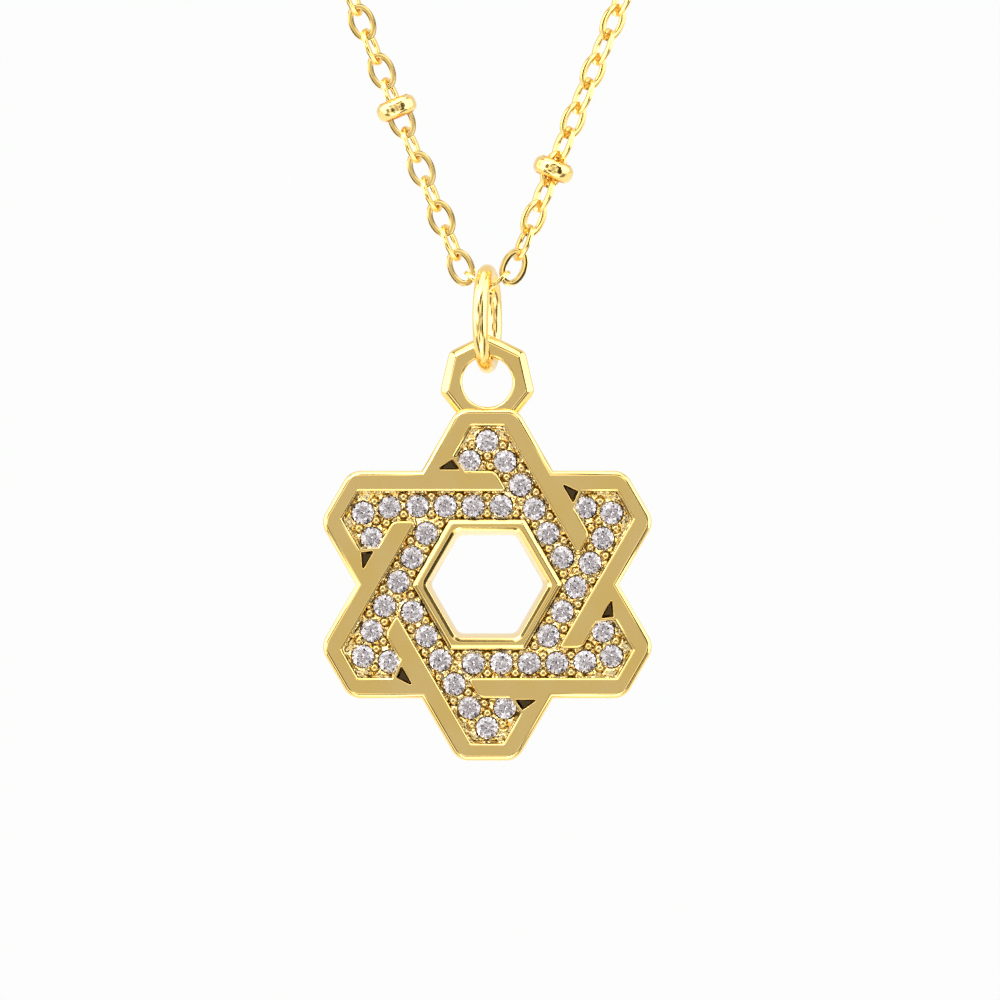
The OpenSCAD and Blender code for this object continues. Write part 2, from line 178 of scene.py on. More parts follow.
class ChainSizes(bpy.types.PropertyGroup):
    """Sizes of the chain, its beads and its clasp."""
    loop: length("Loop length", "Length of the whole loop, with the clasp", 450)
    leg_angle: angle("Side slope", "Slope of each side of the loop to the vertical", 22)
    chest: length("Plumb height", "Height of the part of the loop that hangs plumb on the chest", 60)
    shoulder: length("Shoulder radius", "Radius of the bend back over the shoulders", 60)
    nape_lean: angle("Nape lean", "Angle from plumb of the part behind the shoulders", 65)
    link_long: length("Link length", "Length of one link", 2.25)
    link_wide: length("Link width", "Width of one link", 1.52)
    link_wire: length("Link wire", "Width of a link's wire, seen on its flat face", 0.35)
    link_thick: length("Link thickness", "Thickness of a link through its flat faces", 0.24)
    link_edge: length("Link edge", "Bevel along the edges of a link's wire", 0.05)
    link_pitch: length("Link pitch", "Distance from one link to the next", 1.494)
    right_turn: angle("Right side's turn", "Turn of the right side's links about their length", 35)
    left_slack: angle("Left side's slack", "How far the left side's edge-on links fall short of square", 24)
    low_slope: angle("Lowest links' slope", "Slope of the two lowest links to the horizontal", 40)
    tuck: length("Tuck", "From a lowest link's middle to where the two cross", 0.55)
    low_pitch: length("Low pitch", "Distance from a lowest link to the next", 1.444)
    low_rise: angle("Low rise", "Direction from a lowest link to the next", 42)
    low_apart: length("Lowest links apart", "How far the two lowest links stand apart, front to back", 0.3)
    fade: whole_number("Fading links", "Links over which that distance fades", 5, 1)
    front: whole_number("Front links", "Links on each side that are drawn finely", 14, 3)
    bead: length("Bead size", "Outside diameter of a bead", 2.3)
    bead_long: length("Bead length", "Length of a bead", 1.05)
    bead_round: length("Bead rounding", "Radius of a bead's rounded rims", 0.42)
    bead_bore: length("Bead bore", "Diameter of a bead's bore", 1.6)
    bead_step: whole_number("Bead step", "Links from one bead to the next", 13, 2)
    left_bead: plain_number("First left bead", "The left side's first bead, in links", 8.5)
    right_bead: plain_number("First right bead", "The right side's first bead, in links", 6)
    clasp_long: length("Clasp length", "Length of the clasp's barrel", 7)
    clasp_thick: length("Clasp diameter", "Diameter of the clasp's barrel", 3)
    clasp_wire: length("Clasp ring wire", "Thickness of the wire of the clasp's end rings", 0.6)
    clasp_hole: length("Clasp ring hole", "Hole in the clasp's end rings", 1.3)


class Finishes(bpy.types.PropertyGroup):
    """Colours of the metal, the stones and the studio."""
    gold: colour("Gold", "Polished gold plate", "F6D27D")
    gold_cut: colour("Cut gold", "Gold in the channels, cut by the setter's tools", "F0DAA4")
    gold_worn: colour("Rubbed gold", "Gold where polishing has rubbed the plate thin", "F4D48C")
    # Dark brown painted shade, which darkens the channels' hollows and the grains' dimples where shade falls
    painted_shade_colour: colour("Old polish", "Brown polish left in the hollows of the channels", "3A2812")
    zirconia: colour("Zirconia", "Clear stones with a faint lilac cast", "CCC2C4")
    paper: colour("Paper", "The studio's floor", "D0D0CF")
    backdrop: colour("Backdrop", "The even surface behind the object", "FCFDFC")


class StudioSizes(bpy.types.PropertyGroup):
    """Where the camera and the floor are."""
    view_wide: length("View width", "Width of the view at the star's front", 56.497)
    view_far: length("Camera distance", "From the camera to the star's front", 600)
    view_right: length("View centre right", "The view's centre right of the star's centre", 0.7175)
    view_up: length("View centre up", "The view's centre above the star's centre", 4.7797)
    floor_gap: length("Floor gap", "From the pendant down to the floor", 220)


# Outlines are drawn flat: u runs right, v up, and depth counts forward from the star's back

def towards(turn):
    """A unit step in a direction given in degrees."""
    return Vector((math.cos(math.radians(turn)), math.sin(math.radians(turn))))


def lines_meet(a, far_a, b, far_b):
    """Where two lines meet, each given by the way it faces and its distance from the centre."""
    det = a.x * b.y - a.y * b.x
    return Vector(((far_a * b.y - far_b * a.y) / det, (a.x * far_b - b.x * far_a) / det))


def meet(side_a, far_a, side_b, far_b):
    """Where a line that faces side a at one distance meets a line that faces side b at another.

    Side 0 faces straight down, and each next side is 60 degrees further round.
    """
    return lines_meet(towards(60 * side_a - 90), far_a, towards(60 * side_b - 90), far_b)


def turned(point, degrees):
    """A flat point turned about the star's centre."""
    return Matrix.Rotation(math.radians(degrees), 2) @ Vector(point)


def arc(middle, radius, start, sweep, steps):
    """Points along an arc, both ends included. Angles are in degrees."""
    return [middle + radius * towards(start + sweep * i / steps) for i in range(steps + 1)]


def bearing(vector):
    """A flat direction in degrees."""
    return math.degrees(math.atan2(vector.y, vector.x))


def rounded(corners, steps=6):
    """A closed outline from (point, radius) corners, with an arc in each corner that has a radius."""
    outline = []
    for i, (corner, radius) in enumerate(corners):
        if radius == 0:
            outline.append(corner)
            continue
        before = (corner - corners[i - 1][0]).normalized()
        after = (corners[(i + 1) % len(corners)][0] - corner).normalized()
        sweep = math.atan2(before.x * after.y - before.y * after.x, before.dot(after))
        left = math.copysign(1, sweep)
        start = corner - before * radius * math.tan(abs(sweep) / 2)
        middle = start + left * radius * Vector((-before.y, before.x))
        outline += arc(middle, radius, bearing(start - middle), math.degrees(sweep), steps)
    return outline


def sides_of(outline):
    """The sides of a closed outline, each as its two ends."""
    return list(zip(outline[-1:] + outline[:-1], outline))


# Below this sine of the angle between them, two edges count as one straight line
NEARLY_STRAIGHT = 0.02


def moved_out(outline, reach):
    """An outline with each of its edges moved out by its own reach, or all by one reach."""
    count = len(outline)
    far = reach if isinstance(reach, list) else [reach] * count
    moved = []
    for i, point in enumerate(outline):
        before = (point - outline[i - 1]).normalized()
        after = (outline[(i + 1) % count] - point).normalized()
        a = Vector((before.y, -before.x))
        b = Vector((after.y, -after.x))
        if abs(a.x * b.y - a.y * b.x) < NEARLY_STRAIGHT:
            moved.append(point + (a + b).normalized() * (far[i - 1] + far[i]) / 2)
        else:
            moved.append(lines_meet(a, a.dot(point) + far[i - 1], b, b.dot(point) + far[i]))
    return moved


def polygon_outline(sides, distance, radius, steps=6):
    """A regular outline whose first side faces straight down, with its corners rounded."""
    half = 180 / sides
    far = distance / math.cos(math.radians(half))
    return rounded([(far * towards(-90 + half + 2 * half * i), radius) for i in range(sides)], steps)


def inside(point, outline):
    """Whether a point lies inside a closed outline."""
    crossings = 0
    for a, b in sides_of(outline):
        if (a.y > point.y) != (b.y > point.y):
            crossings += point.x < a.x + (point.y - a.y) / (b.y - a.y) * (b.x - a.x)
    return crossings % 2 == 1


def inside_any(outlines):
    """A test for whether a point lies inside one of some outlines."""
    return lambda point: any(inside(point, outline) for outline in outlines)


class Casting:
    """Gathers flat outlines into one closed mesh that stands upright, its front towards -Y."""

    def __init__(self, middle, thick):
        self.mesh = bmesh.new()
        # Each point's share of painted shade, which is darkest in the hollows
        self.hollow = self.mesh.verts.layers.float.new("hollow")
        self.middle = middle
        self.thick = thick

    def point(self, p, depth, hollow=0.0):
        """Adds a point of the drawing at a height above the back. The last number is the share of painted
        shade that its colour gets.
        """
        vert = self.mesh.verts.new((self.middle.x + p.x, self.middle.y + self.thick / 2 - depth,
                                    self.middle.z + p.y))
        vert[self.hollow] = hollow
        return vert

    def ring(self, outline, depth, hollow=0.0):
        """Adds an outline at one height, or with a height for each point."""
        depths = depth if isinstance(depth, list) else [depth] * len(outline)
        return [self.point(p, d, hollow) for p, d in zip(outline, depths)]

    def wall(self, first, second, smooth=True, material=0):
        """Joins two rings of as many points."""
        for i in range(len(first)):
            j = (i + 1) % len(first)
            face = self.mesh.faces.new((first[i], second[i], second[j], first[j]))
            face.smooth = smooth
            face.material_index = material

    def flat(self, vert):
        """Where a vertex lies on the drawing."""
        return Vector((vert.co.x - self.middle.x, vert.co.z - self.middle.z))

    def walls(self, rings):
        """Joins a list of (outline, depth) rings, and gives the first and last ring back."""
        made = [self.ring(outline, depth) for outline, depth in rings]
        for first, second in zip(made, made[1:]):
            self.wall(first, second)
        return made[0], made[-1]

    def fill(self, rings, is_open, inner=(), shape=None, level=0.0, material=0):
        """Fills between the outer ring, which comes first, and the rings inside it.

        is_open tells where the inner rings leave no metal. Inner points are taken up in the mesh, and
        shape gives each one's rise over the level and its share of painted shade.
        """
        verts = [vert for ring in rings for vert in ring]
        drawn = [self.flat(vert) / MM for vert in verts] + [p / MM for p in inner]
        edges, start = [], 0
        for ring in rings:
            edges += [(start + i, start + (i + 1) % len(ring)) for i in range(len(ring))]
            start += len(ring)
        points, _, faces, origins, _, _ = delaunay_2d_cdt(drawn, edges, [], 1, 1e-5)
        made = []
        for point, origin in zip(points, origins):
            if origin and min(origin) < len(verts):
                made.append(verts[min(origin)])
            elif is_open(point * MM):
                made.append(None)
            else:
                rise, hollow = shape(point * MM)
                made.append(self.point(point * MM, level + rise, hollow))
        for face in faces:
            if is_open(sum((points[i] for i in face), Vector((0, 0))) / 3 * MM):
                continue
            new = self.mesh.faces.new([made[i] for i in face])
            new.smooth = bool(inner)
            new.material_index = material

    def finish(self, name):
        """Turns all faces outwards and gives the mesh."""
        bmesh.ops.recalc_face_normals(self.mesh, faces=self.mesh.faces)
        mesh = bpy.data.meshes.new(name)
        self.mesh.to_mesh(mesh)
        self.mesh.free()
        return mesh


def rounded_edge(outline, reach, top, steps=4):
    """Rings from a flat top over a rounded edge to a wall. reach is positive for a hole's edge."""
    count = len(outline)
    reaches = reach if isinstance(reach, list) else [reach] * count
    drops = [min(abs(reaches[i - 1]), abs(reaches[i])) for i in range(count)]
    rings = []
    for step in range(steps + 1):
        a = math.radians(90 * step / steps)
        rings.append((moved_out(outline, [r * (1 - math.sin(a)) for r in reaches]),
                      [top - d * (1 - math.cos(a)) for d in drops]))
    return rings


def settle_normals(mesh, sharp=50):
    """Keeps the flat faces, which lie to front or back, truly flat.

    A rounded face takes a flat one's normal where the two touch.
    """
    limit = math.cos(math.radians(sharp))
    around = [[] for _ in mesh.vertices]
    for face in mesh.polygons:
        for vertex in face.vertices:
            around[vertex].append(face)
    normals = []
    for face in mesh.polygons:
        for vertex in face.vertices:
            near = [other for other in around[vertex] if other.normal.dot(face.normal) > limit]
            if not face.use_smooth or any(not other.use_smooth for other in near):
                normals.append((0, math.copysign(1, face.normal.y), 0))
            else:
                normals.append(sum((other.normal for other in near), Vector()).normalized())
    mesh.normals_split_custom_set(normals)


def new_piece(name, mesh, body, slot, *replaced):
    """Makes a mesh one of the object's pieces, in place of the nodes named last."""
    piece = bpy.data.objects.new(name, mesh)
    bpy.context.scene.collection.objects.link(piece)
    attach(piece, body)
    if replaced:
        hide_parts(*replaced)
    return piece


# Geometry Nodes

def add_node(tree, kind, inputs=(), **settings):
    """Adds a node. inputs pairs each input's name or index with a value or another node's output."""
    node = tree.nodes.new(kind)
    for name, value in settings.items():
        setattr(node, name, value)
    for socket, value in dict(inputs).items():
        if isinstance(value, bpy.types.NodeSocket):
            tree.links.new(value, node.inputs[socket])
        else:
            node.inputs[socket].default_value = value
    return node


def new_tree(name, **sizes):
    """A Geometry Nodes tree with a geometry input and a named input for each size."""
    tree = bpy.data.node_groups.new(name, "GeometryNodeTree")
    tree.interface.new_socket("Geometry", in_out="INPUT", socket_type="NodeSocketGeometry")
    tree.interface.new_socket("Geometry", in_out="OUTPUT", socket_type="NodeSocketGeometry")
    for size, value in sizes.items():
        kind = {float: "NodeSocketFloat", int: "NodeSocketInt"}.get(type(value), "NodeSocketObject")
        socket = tree.interface.new_socket(size.capitalize(), in_out="INPUT", socket_type=kind)
        if kind != "NodeSocketObject":
            socket.default_value = value
    return tree, add_node(tree, "NodeGroupInput")


def put_on_points(tree, given, shape, material, way):
    """Ends a tree with its shape put on every point, turned or scaled as way says."""
    put = add_node(tree, "GeometryNodeInstanceOnPoints", {
        "Points": given.outputs["Geometry"], "Instance": shape, **way})
    real = add_node(tree, "GeometryNodeRealizeInstances", {"Geometry": put.outputs["Instances"]})
    coated = add_node(tree, "GeometryNodeSetMaterial", {
        "Geometry": real.outputs["Geometry"], "Material": material})
    add_node(tree, "NodeGroupOutput", {"Geometry": coated.outputs["Geometry"]})
    return tree


def points_turn(tree):
    """The turn that each point carries."""
    turn = add_node(tree, "GeometryNodeInputNamedAttribute", {"Name": "turn"}, data_type="FLOAT_VECTOR")
    return turn.outputs["Attribute"]


def points_mesh(name, places, turns=None):
    """A mesh of loose points, each with its turn as an attribute where turns are given."""
    mesh = bpy.data.meshes.new(name)
    mesh.from_pydata([tuple(p) for p in places], [], [])
    if turns:
        attribute = mesh.attributes.new("turn", "FLOAT_VECTOR", "POINT")
        attribute.data.foreach_set("vector", [c for turn in turns for c in turn])
    return mesh


def grown(name, base, tree, smooth_under=None, **values):
    """Runs a tree on a base mesh and returns the plain mesh that it makes."""
    seed = bpy.data.objects.new(name + "_base", base)
    bpy.context.scene.collection.objects.link(seed)
    modifier = seed.modifiers.new("Build", "NODES")
    modifier.node_group = tree
    for item in tree.interface.items_tree:
        if item.in_out == "INPUT" and item.name in values:
            modifier[item.identifier] = values[item.name]
    graph = bpy.context.evaluated_depsgraph_get()
    mesh = bpy.data.meshes.new_from_object(seed.evaluated_get(graph), preserve_all_data_layers=True,
                                           depsgraph=graph)
    mesh.name = name
    bpy.data.objects.remove(seed)
    if not mesh.polygons:
        raise RuntimeError(name + " came out of its tree with no faces")
    if smooth_under is not None:
        mesh.shade_smooth()
        mesh.set_sharp_from_angle(angle=math.radians(smooth_under))
    return mesh


# Materials

def new_material(name):
    """A node material, its tree, its shader and the object's own coordinates."""
    material = bpy.data.materials.new(name)
    material.use_nodes = True
    tree = material.node_tree
    tree.nodes.clear()
    shader = add_node(tree, "ShaderNodeBsdfPrincipled")
    add_node(tree, "ShaderNodeOutputMaterial", {"Surface": shader.outputs["BSDF"]})
    place = add_node(tree, "ShaderNodeTexCoord")
    return material, tree, shader, place.outputs["Object"]


def per_metre(size_mm):
    """A noise scale that repeats once in so many millimetres."""
    return 1 / (size_mm * MM)


def gold_plate(name, colour_a, colour_b, rough, patch_mm, dent_mm, dent_um):
    """Gold plate over polished brass: a mirror with faint ripples from the wheel and uneven gloss."""
    material, tree, shader, place = new_material(name)
    # Patches where the plate is rubbed, which change its tint and its gloss a little
    patch = add_node(tree, "ShaderNodeTexNoise", {"Vector": place, "Scale": per_metre(patch_mm), "Detail": 3})
    tint = add_node(tree, "ShaderNodeValToRGB", {"Fac": patch.outputs["Fac"]})
    for stop, tone, at in zip(tint.color_ramp.elements, (colour_a, colour_b), (0.35, 0.75)):
        stop.color = (*tone, 1)
        stop.position = at
    gloss = add_node(tree, "ShaderNodeMapRange", {
        "Value": patch.outputs["Fac"], "From Min": 0.3, "From Max": 0.7,
        "To Min": rough * 0.8, "To Max": rough * 1.25})
    # Shallow ripples or tool marks, which break up what the metal mirrors
    dents = add_node(tree, "ShaderNodeTexNoise", {"Vector": place, "Scale": per_metre(dent_mm), "Detail": 2})
    bump = add_node(tree, "ShaderNodeBump", {
        "Height": dents.outputs["Fac"], "Distance": dent_um * MM * MM, "Strength": 1.0})
    tree.links.new(tint.outputs["Color"], shader.inputs["Base Color"])
    tree.links.new(gloss.outputs["Result"], shader.inputs["Roughness"])
    tree.links.new(bump.outputs["Normal"], shader.inputs["Normal"])
    shader.inputs["Metallic"].default_value = 1
    return material


def cubic_zirconia(clear):
    """Cut cubic zirconia: water clear, and so dense that its facets flash."""
    material, tree, shader, place = new_material("cut_cubic_zirconia")
    # A breath of haze on some facets, as on worn stones
    haze = add_node(tree, "ShaderNodeTexNoise", {"Vector": place, "Scale": per_metre(0.6), "Detail": 1})
    rough = add_node(tree, "ShaderNodeMapRange", {
        "Value": haze.outputs["Fac"], "From Min": 0.4, "From Max": 0.7, "To Min": 0.0, "To Max": 0.02})
    tree.links.new(rough.outputs["Result"], shader.inputs["Roughness"])
    shader.inputs["Base Color"].default_value = (*clear, 1)
    shader.inputs["Transmission Weight"].default_value = 1
    shader.inputs["IOR"].default_value = 2.16
    return material


def floor_paper(shade):
    """Matt studio paper, faintly mottled."""
    material, tree, shader, place = new_material("matt_studio_paper")
    mottle = add_node(tree, "ShaderNodeTexNoise", {"Vector": place, "Scale": per_metre(90), "Detail": 2})
    rough = add_node(tree, "ShaderNodeMapRange", {
        "Value": mottle.outputs["Fac"], "To Min": 0.75, "To Max": 0.95})
    tree.links.new(rough.outputs["Result"], shader.inputs["Roughness"])
    shader.inputs["Base Color"].default_value = (*shade, 1)
    shader.inputs["Specular IOR Level"].default_value = 0.2
    return material


def shade_hollows(material, painted_shade_colour):
    """Paints dark brown shade into the hollows of a metal, where shade falls."""
    tree = material.node_tree
    shader = next(node for node in tree.nodes if node.type == "BSDF_PRINCIPLED")
    clean = shader.inputs["Base Color"].links[0].from_socket
    # The painted shade grows with each point's stored share
    hollow = add_node(tree, "ShaderNodeAttribute", attribute_name="hollow")
    amount = add_node(tree, "ShaderNodeMapRange", {
        "Value": hollow.outputs["Fac"], "From Min": 0.25, "From Max": 0.95, "To Min": 0.0, "To Max": 0.93})
    mixed = add_node(tree, "ShaderNodeMix", {0: amount.outputs["Result"], 6: clean, 7: (*painted_shade_colour, 1)},
                     data_type="RGBA")
    tree.links.new(mixed.outputs[2], shader.inputs["Base Color"])
    return material


def rim_gold(f):
    """Gold on the rims and the eye, polished on a wheel: the clearest mirror, in long soft ripples."""
    return gold_plate("polished_gold_plate", f.gold, f.gold_worn,
                      rough=0.12, patch_mm=2.4, dent_mm=0.9, dent_um=0.4)


def cut_gold(f):
    """Gold in the channels, bright from the cutting tools: its many small cuts glitter, and its hollows are
    painted with shade.
    """
    plate = gold_plate("bright_cut_gold", f.gold_cut, f.gold,
                       rough=0.11, patch_mm=0.5, dent_mm=0.12, dent_um=5)
    return shade_hollows(plate, f.painted_shade_colour)


def grain_gold(f):
    """Gold on the raised grains, pressed smooth by the beading tool: each has one bright spot, and its dimple
    is painted with shade.
    """
    plate = gold_plate("burnished_grain_gold", f.gold, f.gold_cut,
                       rough=0.1, patch_mm=0.4, dent_mm=0.2, dent_um=1.5)
    return shade_hollows(plate, f.painted_shade_colour)


def wire_gold(f):
    """Gold on drawn wire, beads and clasp, which share it: a mirror slightly softer than the rims'."""
    name = "drawn_gold_wire"
    return bpy.data.materials.get(name) or gold_plate(name, f.gold, f.gold_worn,
                                                      rough=0.14, patch_mm=3.0, dent_mm=0.5, dent_um=0.5)


# The star

def star_lines(s, stones):
    """Distances and heights that the star's pieces share."""
    rim_in = s.side_out - s.rim
    channel_in = rim_in - s.channel
    row_at = (rim_in + channel_in) / 2
    tip_in = s.tip_out - s.tip_rim
    collar_out = channel_in - s.collar_slope
    hole_front = collar_out - s.collar
    low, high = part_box("star")
    return SimpleNamespace(
        rim_in=rim_in, channel_in=channel_in, row_at=row_at, tip_in=tip_in, collar_out=collar_out,
        hole_front=hole_front, hole_back=hole_front - s.hole_draft,
        floor=s.thick - s.channel_deep,
        girdle=s.thick - stones.sink - (CROWN_HIGH + GIRDLE_HIGH) * stones.size,
        tip_stone=tip_in - stones.tip_gap - stones.size / 2,
        pair_at=2 * (row_at - stones.pair_shift - stones.pair_gap / 2 * COS30),
        seat=stones.size / 2 + stones.seat,
        middle=Vector(((low.x + high.x) / 2, (low.y + high.y) / 2, low.z + s.tip_out)))


def row_places(line, stones):
    """The middles of one side's row of stones, seen with that side straight down."""
    last = turned((line.pair_at, -stones.pair_gap / 2), -30)
    room = last.x + (line.channel_in - stones.size / 2 - line.row_at / 2) / COS30
    count = math.floor(room / stones.pitch) + 1
    return [Vector((last.x - i * stones.pitch, -line.row_at)) for i in range(count - 1, 0, -1)] + [last]


def stone_places(line, stones):
    """All the stones' middles, side by side: the row, the corner's stone and the one across it."""
    one_side = row_places(line, stones)
    one_side.append(turned((line.tip_stone, 0), -30))
    one_side.append(turned((line.pair_at, stones.pair_gap / 2), -30))
    return [turned(place, 60 * side) for side in range(SIDES) for place in one_side]


# The grains round a corner's stone: gaps to it, and places across and along from its middle
INNER_GRAIN_GAP = 0.01 * MM
SIDE_GRAIN_GAP = 0.04 * MM
SIDE_GRAIN_IN = -0.23 * MM
GRAIN_BETWEEN_PAIR = (-0.17 * MM, -1.42 * MM)


def grain_places(line, stones):
    """All the raised grains: beside each two stones, before the first and four in the corner."""
    reach = (stones.size + stones.grain) / 2
    out = line.rim_in - line.row_at - stones.grain / 2 - stones.grain_gap
    inward = math.sqrt(max(0, (reach + stones.grain_gap) ** 2 - (stones.pitch / 2) ** 2))
    row = row_places(line, stones)
    one_side = [row[0] + Vector((-reach, inward))]
    for a, b in zip(row, row[1:]):
        one_side += [(a + b) / 2 + Vector((0, -out)), (a + b) / 2 + Vector((0, inward))]
    one_side += [turned((line.tip_stone + along, across), -30) for across, along in [
        (0, -reach - INNER_GRAIN_GAP), GRAIN_BETWEEN_PAIR, (-reach - SIDE_GRAIN_GAP, SIDE_GRAIN_IN),
        (reach + SIDE_GRAIN_GAP, SIDE_GRAIN_IN)]]
    return [turned(place, 60 * side) for side in range(SIDES) for place in one_side]


# A pocket's corners: millimetres outside the side line, and outside the next side's rim line
POCKET_CORNERS = [(0.06, -0.7), (0.06, 0.47), (0.68, 0.0)]
POCKET_ROUND = 0.07 * MM
# The radius of the channels' two corners across each of the star's corners
TIP_CHANNEL_ROUND = 0.12 * MM


def pocket_corners(s, line):
    """The three corners of the pocket beside the corner that points straight down."""
    return [meet(0, s.side_out + out * MM, 1, line.rim_in + rim_out * MM) for out, rim_out in POCKET_CORNERS]


def crossing(point, step, middle, radius):
    """Where a line enters a circle, first along its step."""
    to_middle = point - middle
    along = to_middle.dot(step)
    half = math.sqrt(along ** 2 - to_middle.length_squared + radius ** 2)
    return point + step * (-along - half), point + step * (-along + half)


def channel_outline(s, line, stones):
    """The channels' outer line, as (outline, edge widths, the pair stones' bites).

    Each sector runs round one corner, past the thin wall beside its pocket and back along the
    strip that crosses there. The stone beside that wall is tucked under both, so its seat's rim
    leaves the wall at one point and meets the strip at another.
    """
    outline, edges, bites = [], [], []
    near, _, far = pocket_corners(s, line)
    wall_step = (far - near).normalized()
    wall_at = near + s.pocket_wall * Vector((wall_step.y, -wall_step.x))
    rim_step = towards(60)
    across = meet(1, line.rim_in, 0, s.side_out)
    det = wall_step.x * rim_step.y - wall_step.y * rim_step.x
    gap = across - wall_at
    wall_end = wall_at + wall_step * (gap.x * rim_step.y - gap.y * rim_step.x) / det
    wall_start = wall_at + wall_step * (-s.side_out - wall_at.y) / wall_step.y
    tucked = Vector((stones.pair_gap / 2, -line.pair_at))
    leaves = crossing(wall_end, -wall_step, tucked, line.seat)[0]
    meets = crossing(wall_start, Vector((-1, 0)), tucked, line.seat)[1]
    start = meet(-1, line.rim_in, -2, line.channel_in)
    corners = [(start, s.acute_round), (meet(-1, line.rim_in, 0, line.tip_in), TIP_CHANNEL_ROUND),
               (meet(0, line.tip_in, 1, line.rim_in), TIP_CHANNEL_ROUND), (wall_end, 0), (leaves, 0),
               (wall_start, 0), (meets, 0), (meet(0, s.side_out, -1, line.channel_in), s.end_round),
               (turned(start, 60), 0)]
    steps = 4
    first = rounded([(turned(corners[-2][0], -60), 0)] + corners, steps)[1:-1]
    fine_from = 3 * (steps + 1)
    one_edges = [s.inner_edge] * len(first)
    one_edges[fine_from:fine_from + 2] = [s.fine_edge] * 2
    for side in range(SIDES):
        bites.append((len(outline) + fine_from + 1, turned(tucked, 60 * side)))
        outline += [turned(p, 60 * side) for p in first]
        edges += one_edges
    return outline, edges, bites


def star_outline(s):
    """The star's outer line: twelve side lines, six cut-off corners and six notches."""
    corners = []
    for side in range(SIDES):
        corners += [(meet(side - 1, s.side_out, side, s.tip_out), s.tip_round),
                    (meet(side, s.tip_out, side + 1, s.side_out), s.tip_round),
                    (meet(side, s.side_out, side + 1, s.side_out), 0)]
    return rounded(corners, 8)


# The flat foot of each seat: its radius, and how far it lies below the stone's point
SEAT_FOOT = 0.12 * MM
SEAT_CLEAR = 0.06 * MM


def draw_seat(casting, top, middle, line, stones):
    """A cone-shaped seat below a ring that is already there."""
    turns = [bearing(casting.flat(vert) - middle) for vert in top]
    base = line.girdle - PAVILION_HIGH * stones.size - SEAT_CLEAR
    # The seat's foot gets the full painted shade
    cone = casting.ring([middle + SEAT_FOOT * towards(turn) for turn in turns], base, 1.0)
    casting.wall(top, cone, True, 1)
    casting.mesh.faces.new(cone).material_index = 1


def near_tree(places):
    """A function that gives a point's distance to the nearest of some places."""
    tree = kdtree.KDTree(len(places))
    for i, place in enumerate(places):
        tree.insert((place.x, place.y, 0), i)
    tree.balance()
    return lambda p: tree.find((p.x, p.y, 0))[2]


def bell(value, peak, half_width):
    """1 at its peak, and falling off to nothing on both sides."""
    return math.exp(-((value - peak) / half_width) ** 2)


def cut_points(line, stones):
    """A close grid of points over the whole star, from which the cut floor takes its own."""
    step = stones.cut_grid
    rows = math.ceil(line.tip_in / COS30 / step / COS30)
    inner = []
    for row in range(-rows, rows + 1):
        for column in range(-rows, rows + 1):
            point = Vector(((column + row % 2 / 2) * step, row * step * COS30))
            if line.channel_in < point.length < 1.05 * line.tip_in:
                inner.append(point)
    return inner


# The cut floor. Ridges and cuts: their distance from a seat, a wall or a grain's middle, which is a share
# of the grain's width, and their reach to both sides. Then the tool marks' size in millimetres
RIDGE_AT, RIDGE_REACH = 0.07 * MM, 0.05 * MM
WALL_CUT_AT, CUT_REACH = 0.1 * MM, 0.06 * MM
GRAIN_CUT_AT = 0.62
MARK_MM = 0.17


def cut_floor(walls, line, stones):
    """How the floor rises and falls, and how much painted shade its colour gets.

    It has ridges round the stones, rings cut round the grains, a cut along the walls and tool marks,
    and all of them fade out beside the walls and the seats.
    """
    close = [i / 40 for i in range(1, 41)]
    wide = [0.25, 0.5, 0.75, 1.0]
    to_wall = near_tree([a.lerp(b, t) for a, b in walls
                         for t in (close if (b - a).length > 0.3 * MM else wide)])
    to_stone = near_tree(stone_places(line, stones))
    to_grain = near_tree(grain_places(line, stones))

    def shape(p):
        wall, seat, grain = to_wall(p), to_stone(p) - line.seat, to_grain(p)
        marks = noise.noise((p.x / MM / MARK_MM, p.y / MM / MARK_MM, 0.3)) * stones.cut_rough
        rise = (stones.cut_ridge * bell(seat, RIDGE_AT, RIDGE_REACH)
                - stones.cut_moat * bell(grain, stones.grain * GRAIN_CUT_AT, CUT_REACH)
                - 0.6 * stones.cut_moat * bell(wall, WALL_CUT_AT, CUT_REACH) + marks)
        fade = min(1, wall / (0.08 * MM), max(seat, 0) / (0.05 * MM))
        # Painted shade: darkest at the walls' foot, in the rings cut round the grains, beside the seats and
        # in the low tool marks
        hollow = max(bell(wall, 0, 0.07 * MM), 0.95 * bell(grain, stones.grain * 0.6, 0.07 * MM),
                     0.7 * bell(seat, 0, 0.04 * MM), min(1, max(0, -marks / stones.cut_rough)))
        return rise * fade, hollow

    return shape


def open_places(foot_line, line, stones):
    """Where the floor has no metal: inside the collar's foot and in the seats."""
    to_stone = near_tree(stone_places(line, stones))
    edges = sides_of(foot_line)
    seat = line.seat * math.cos(math.pi / SEAT_POINTS)

    def is_open(p):
        return to_stone(p) < seat or all((b - a).cross(p - a) > 0 for a, b in edges)

    return is_open


def draw_pockets(casting, s, line):
    """The small pockets beside the corners, as the rings and the outlines of their mouths."""
    mouths, outlines = [], []
    for side in range(SIDES):
        corners = [turned(p, 60 * side) for p in pocket_corners(s, line)]
        if (corners[1] - corners[0]).cross(corners[2] - corners[0]) < 0:
            corners.reverse()
        pit = rounded([(p, POCKET_ROUND) for p in corners], 3)
        rings = rounded_edge(pit, s.fine_edge, s.thick, 2)
        mouth, lip = casting.walls(rings)
        centre = sum(corners, Vector((0, 0))) / len(corners)
        # The pocket's floor gets the full painted shade
        foot = casting.ring([centre.lerp(p, s.pocket_floor) for p in pit], s.thick - s.pocket_deep, 1.0)
        casting.wall(lip, foot, True, 1)
        casting.mesh.faces.new(foot).material_index = 1
        mouths.append(mouth)
        outlines.append(rings[0][0])
    return mouths, outlines


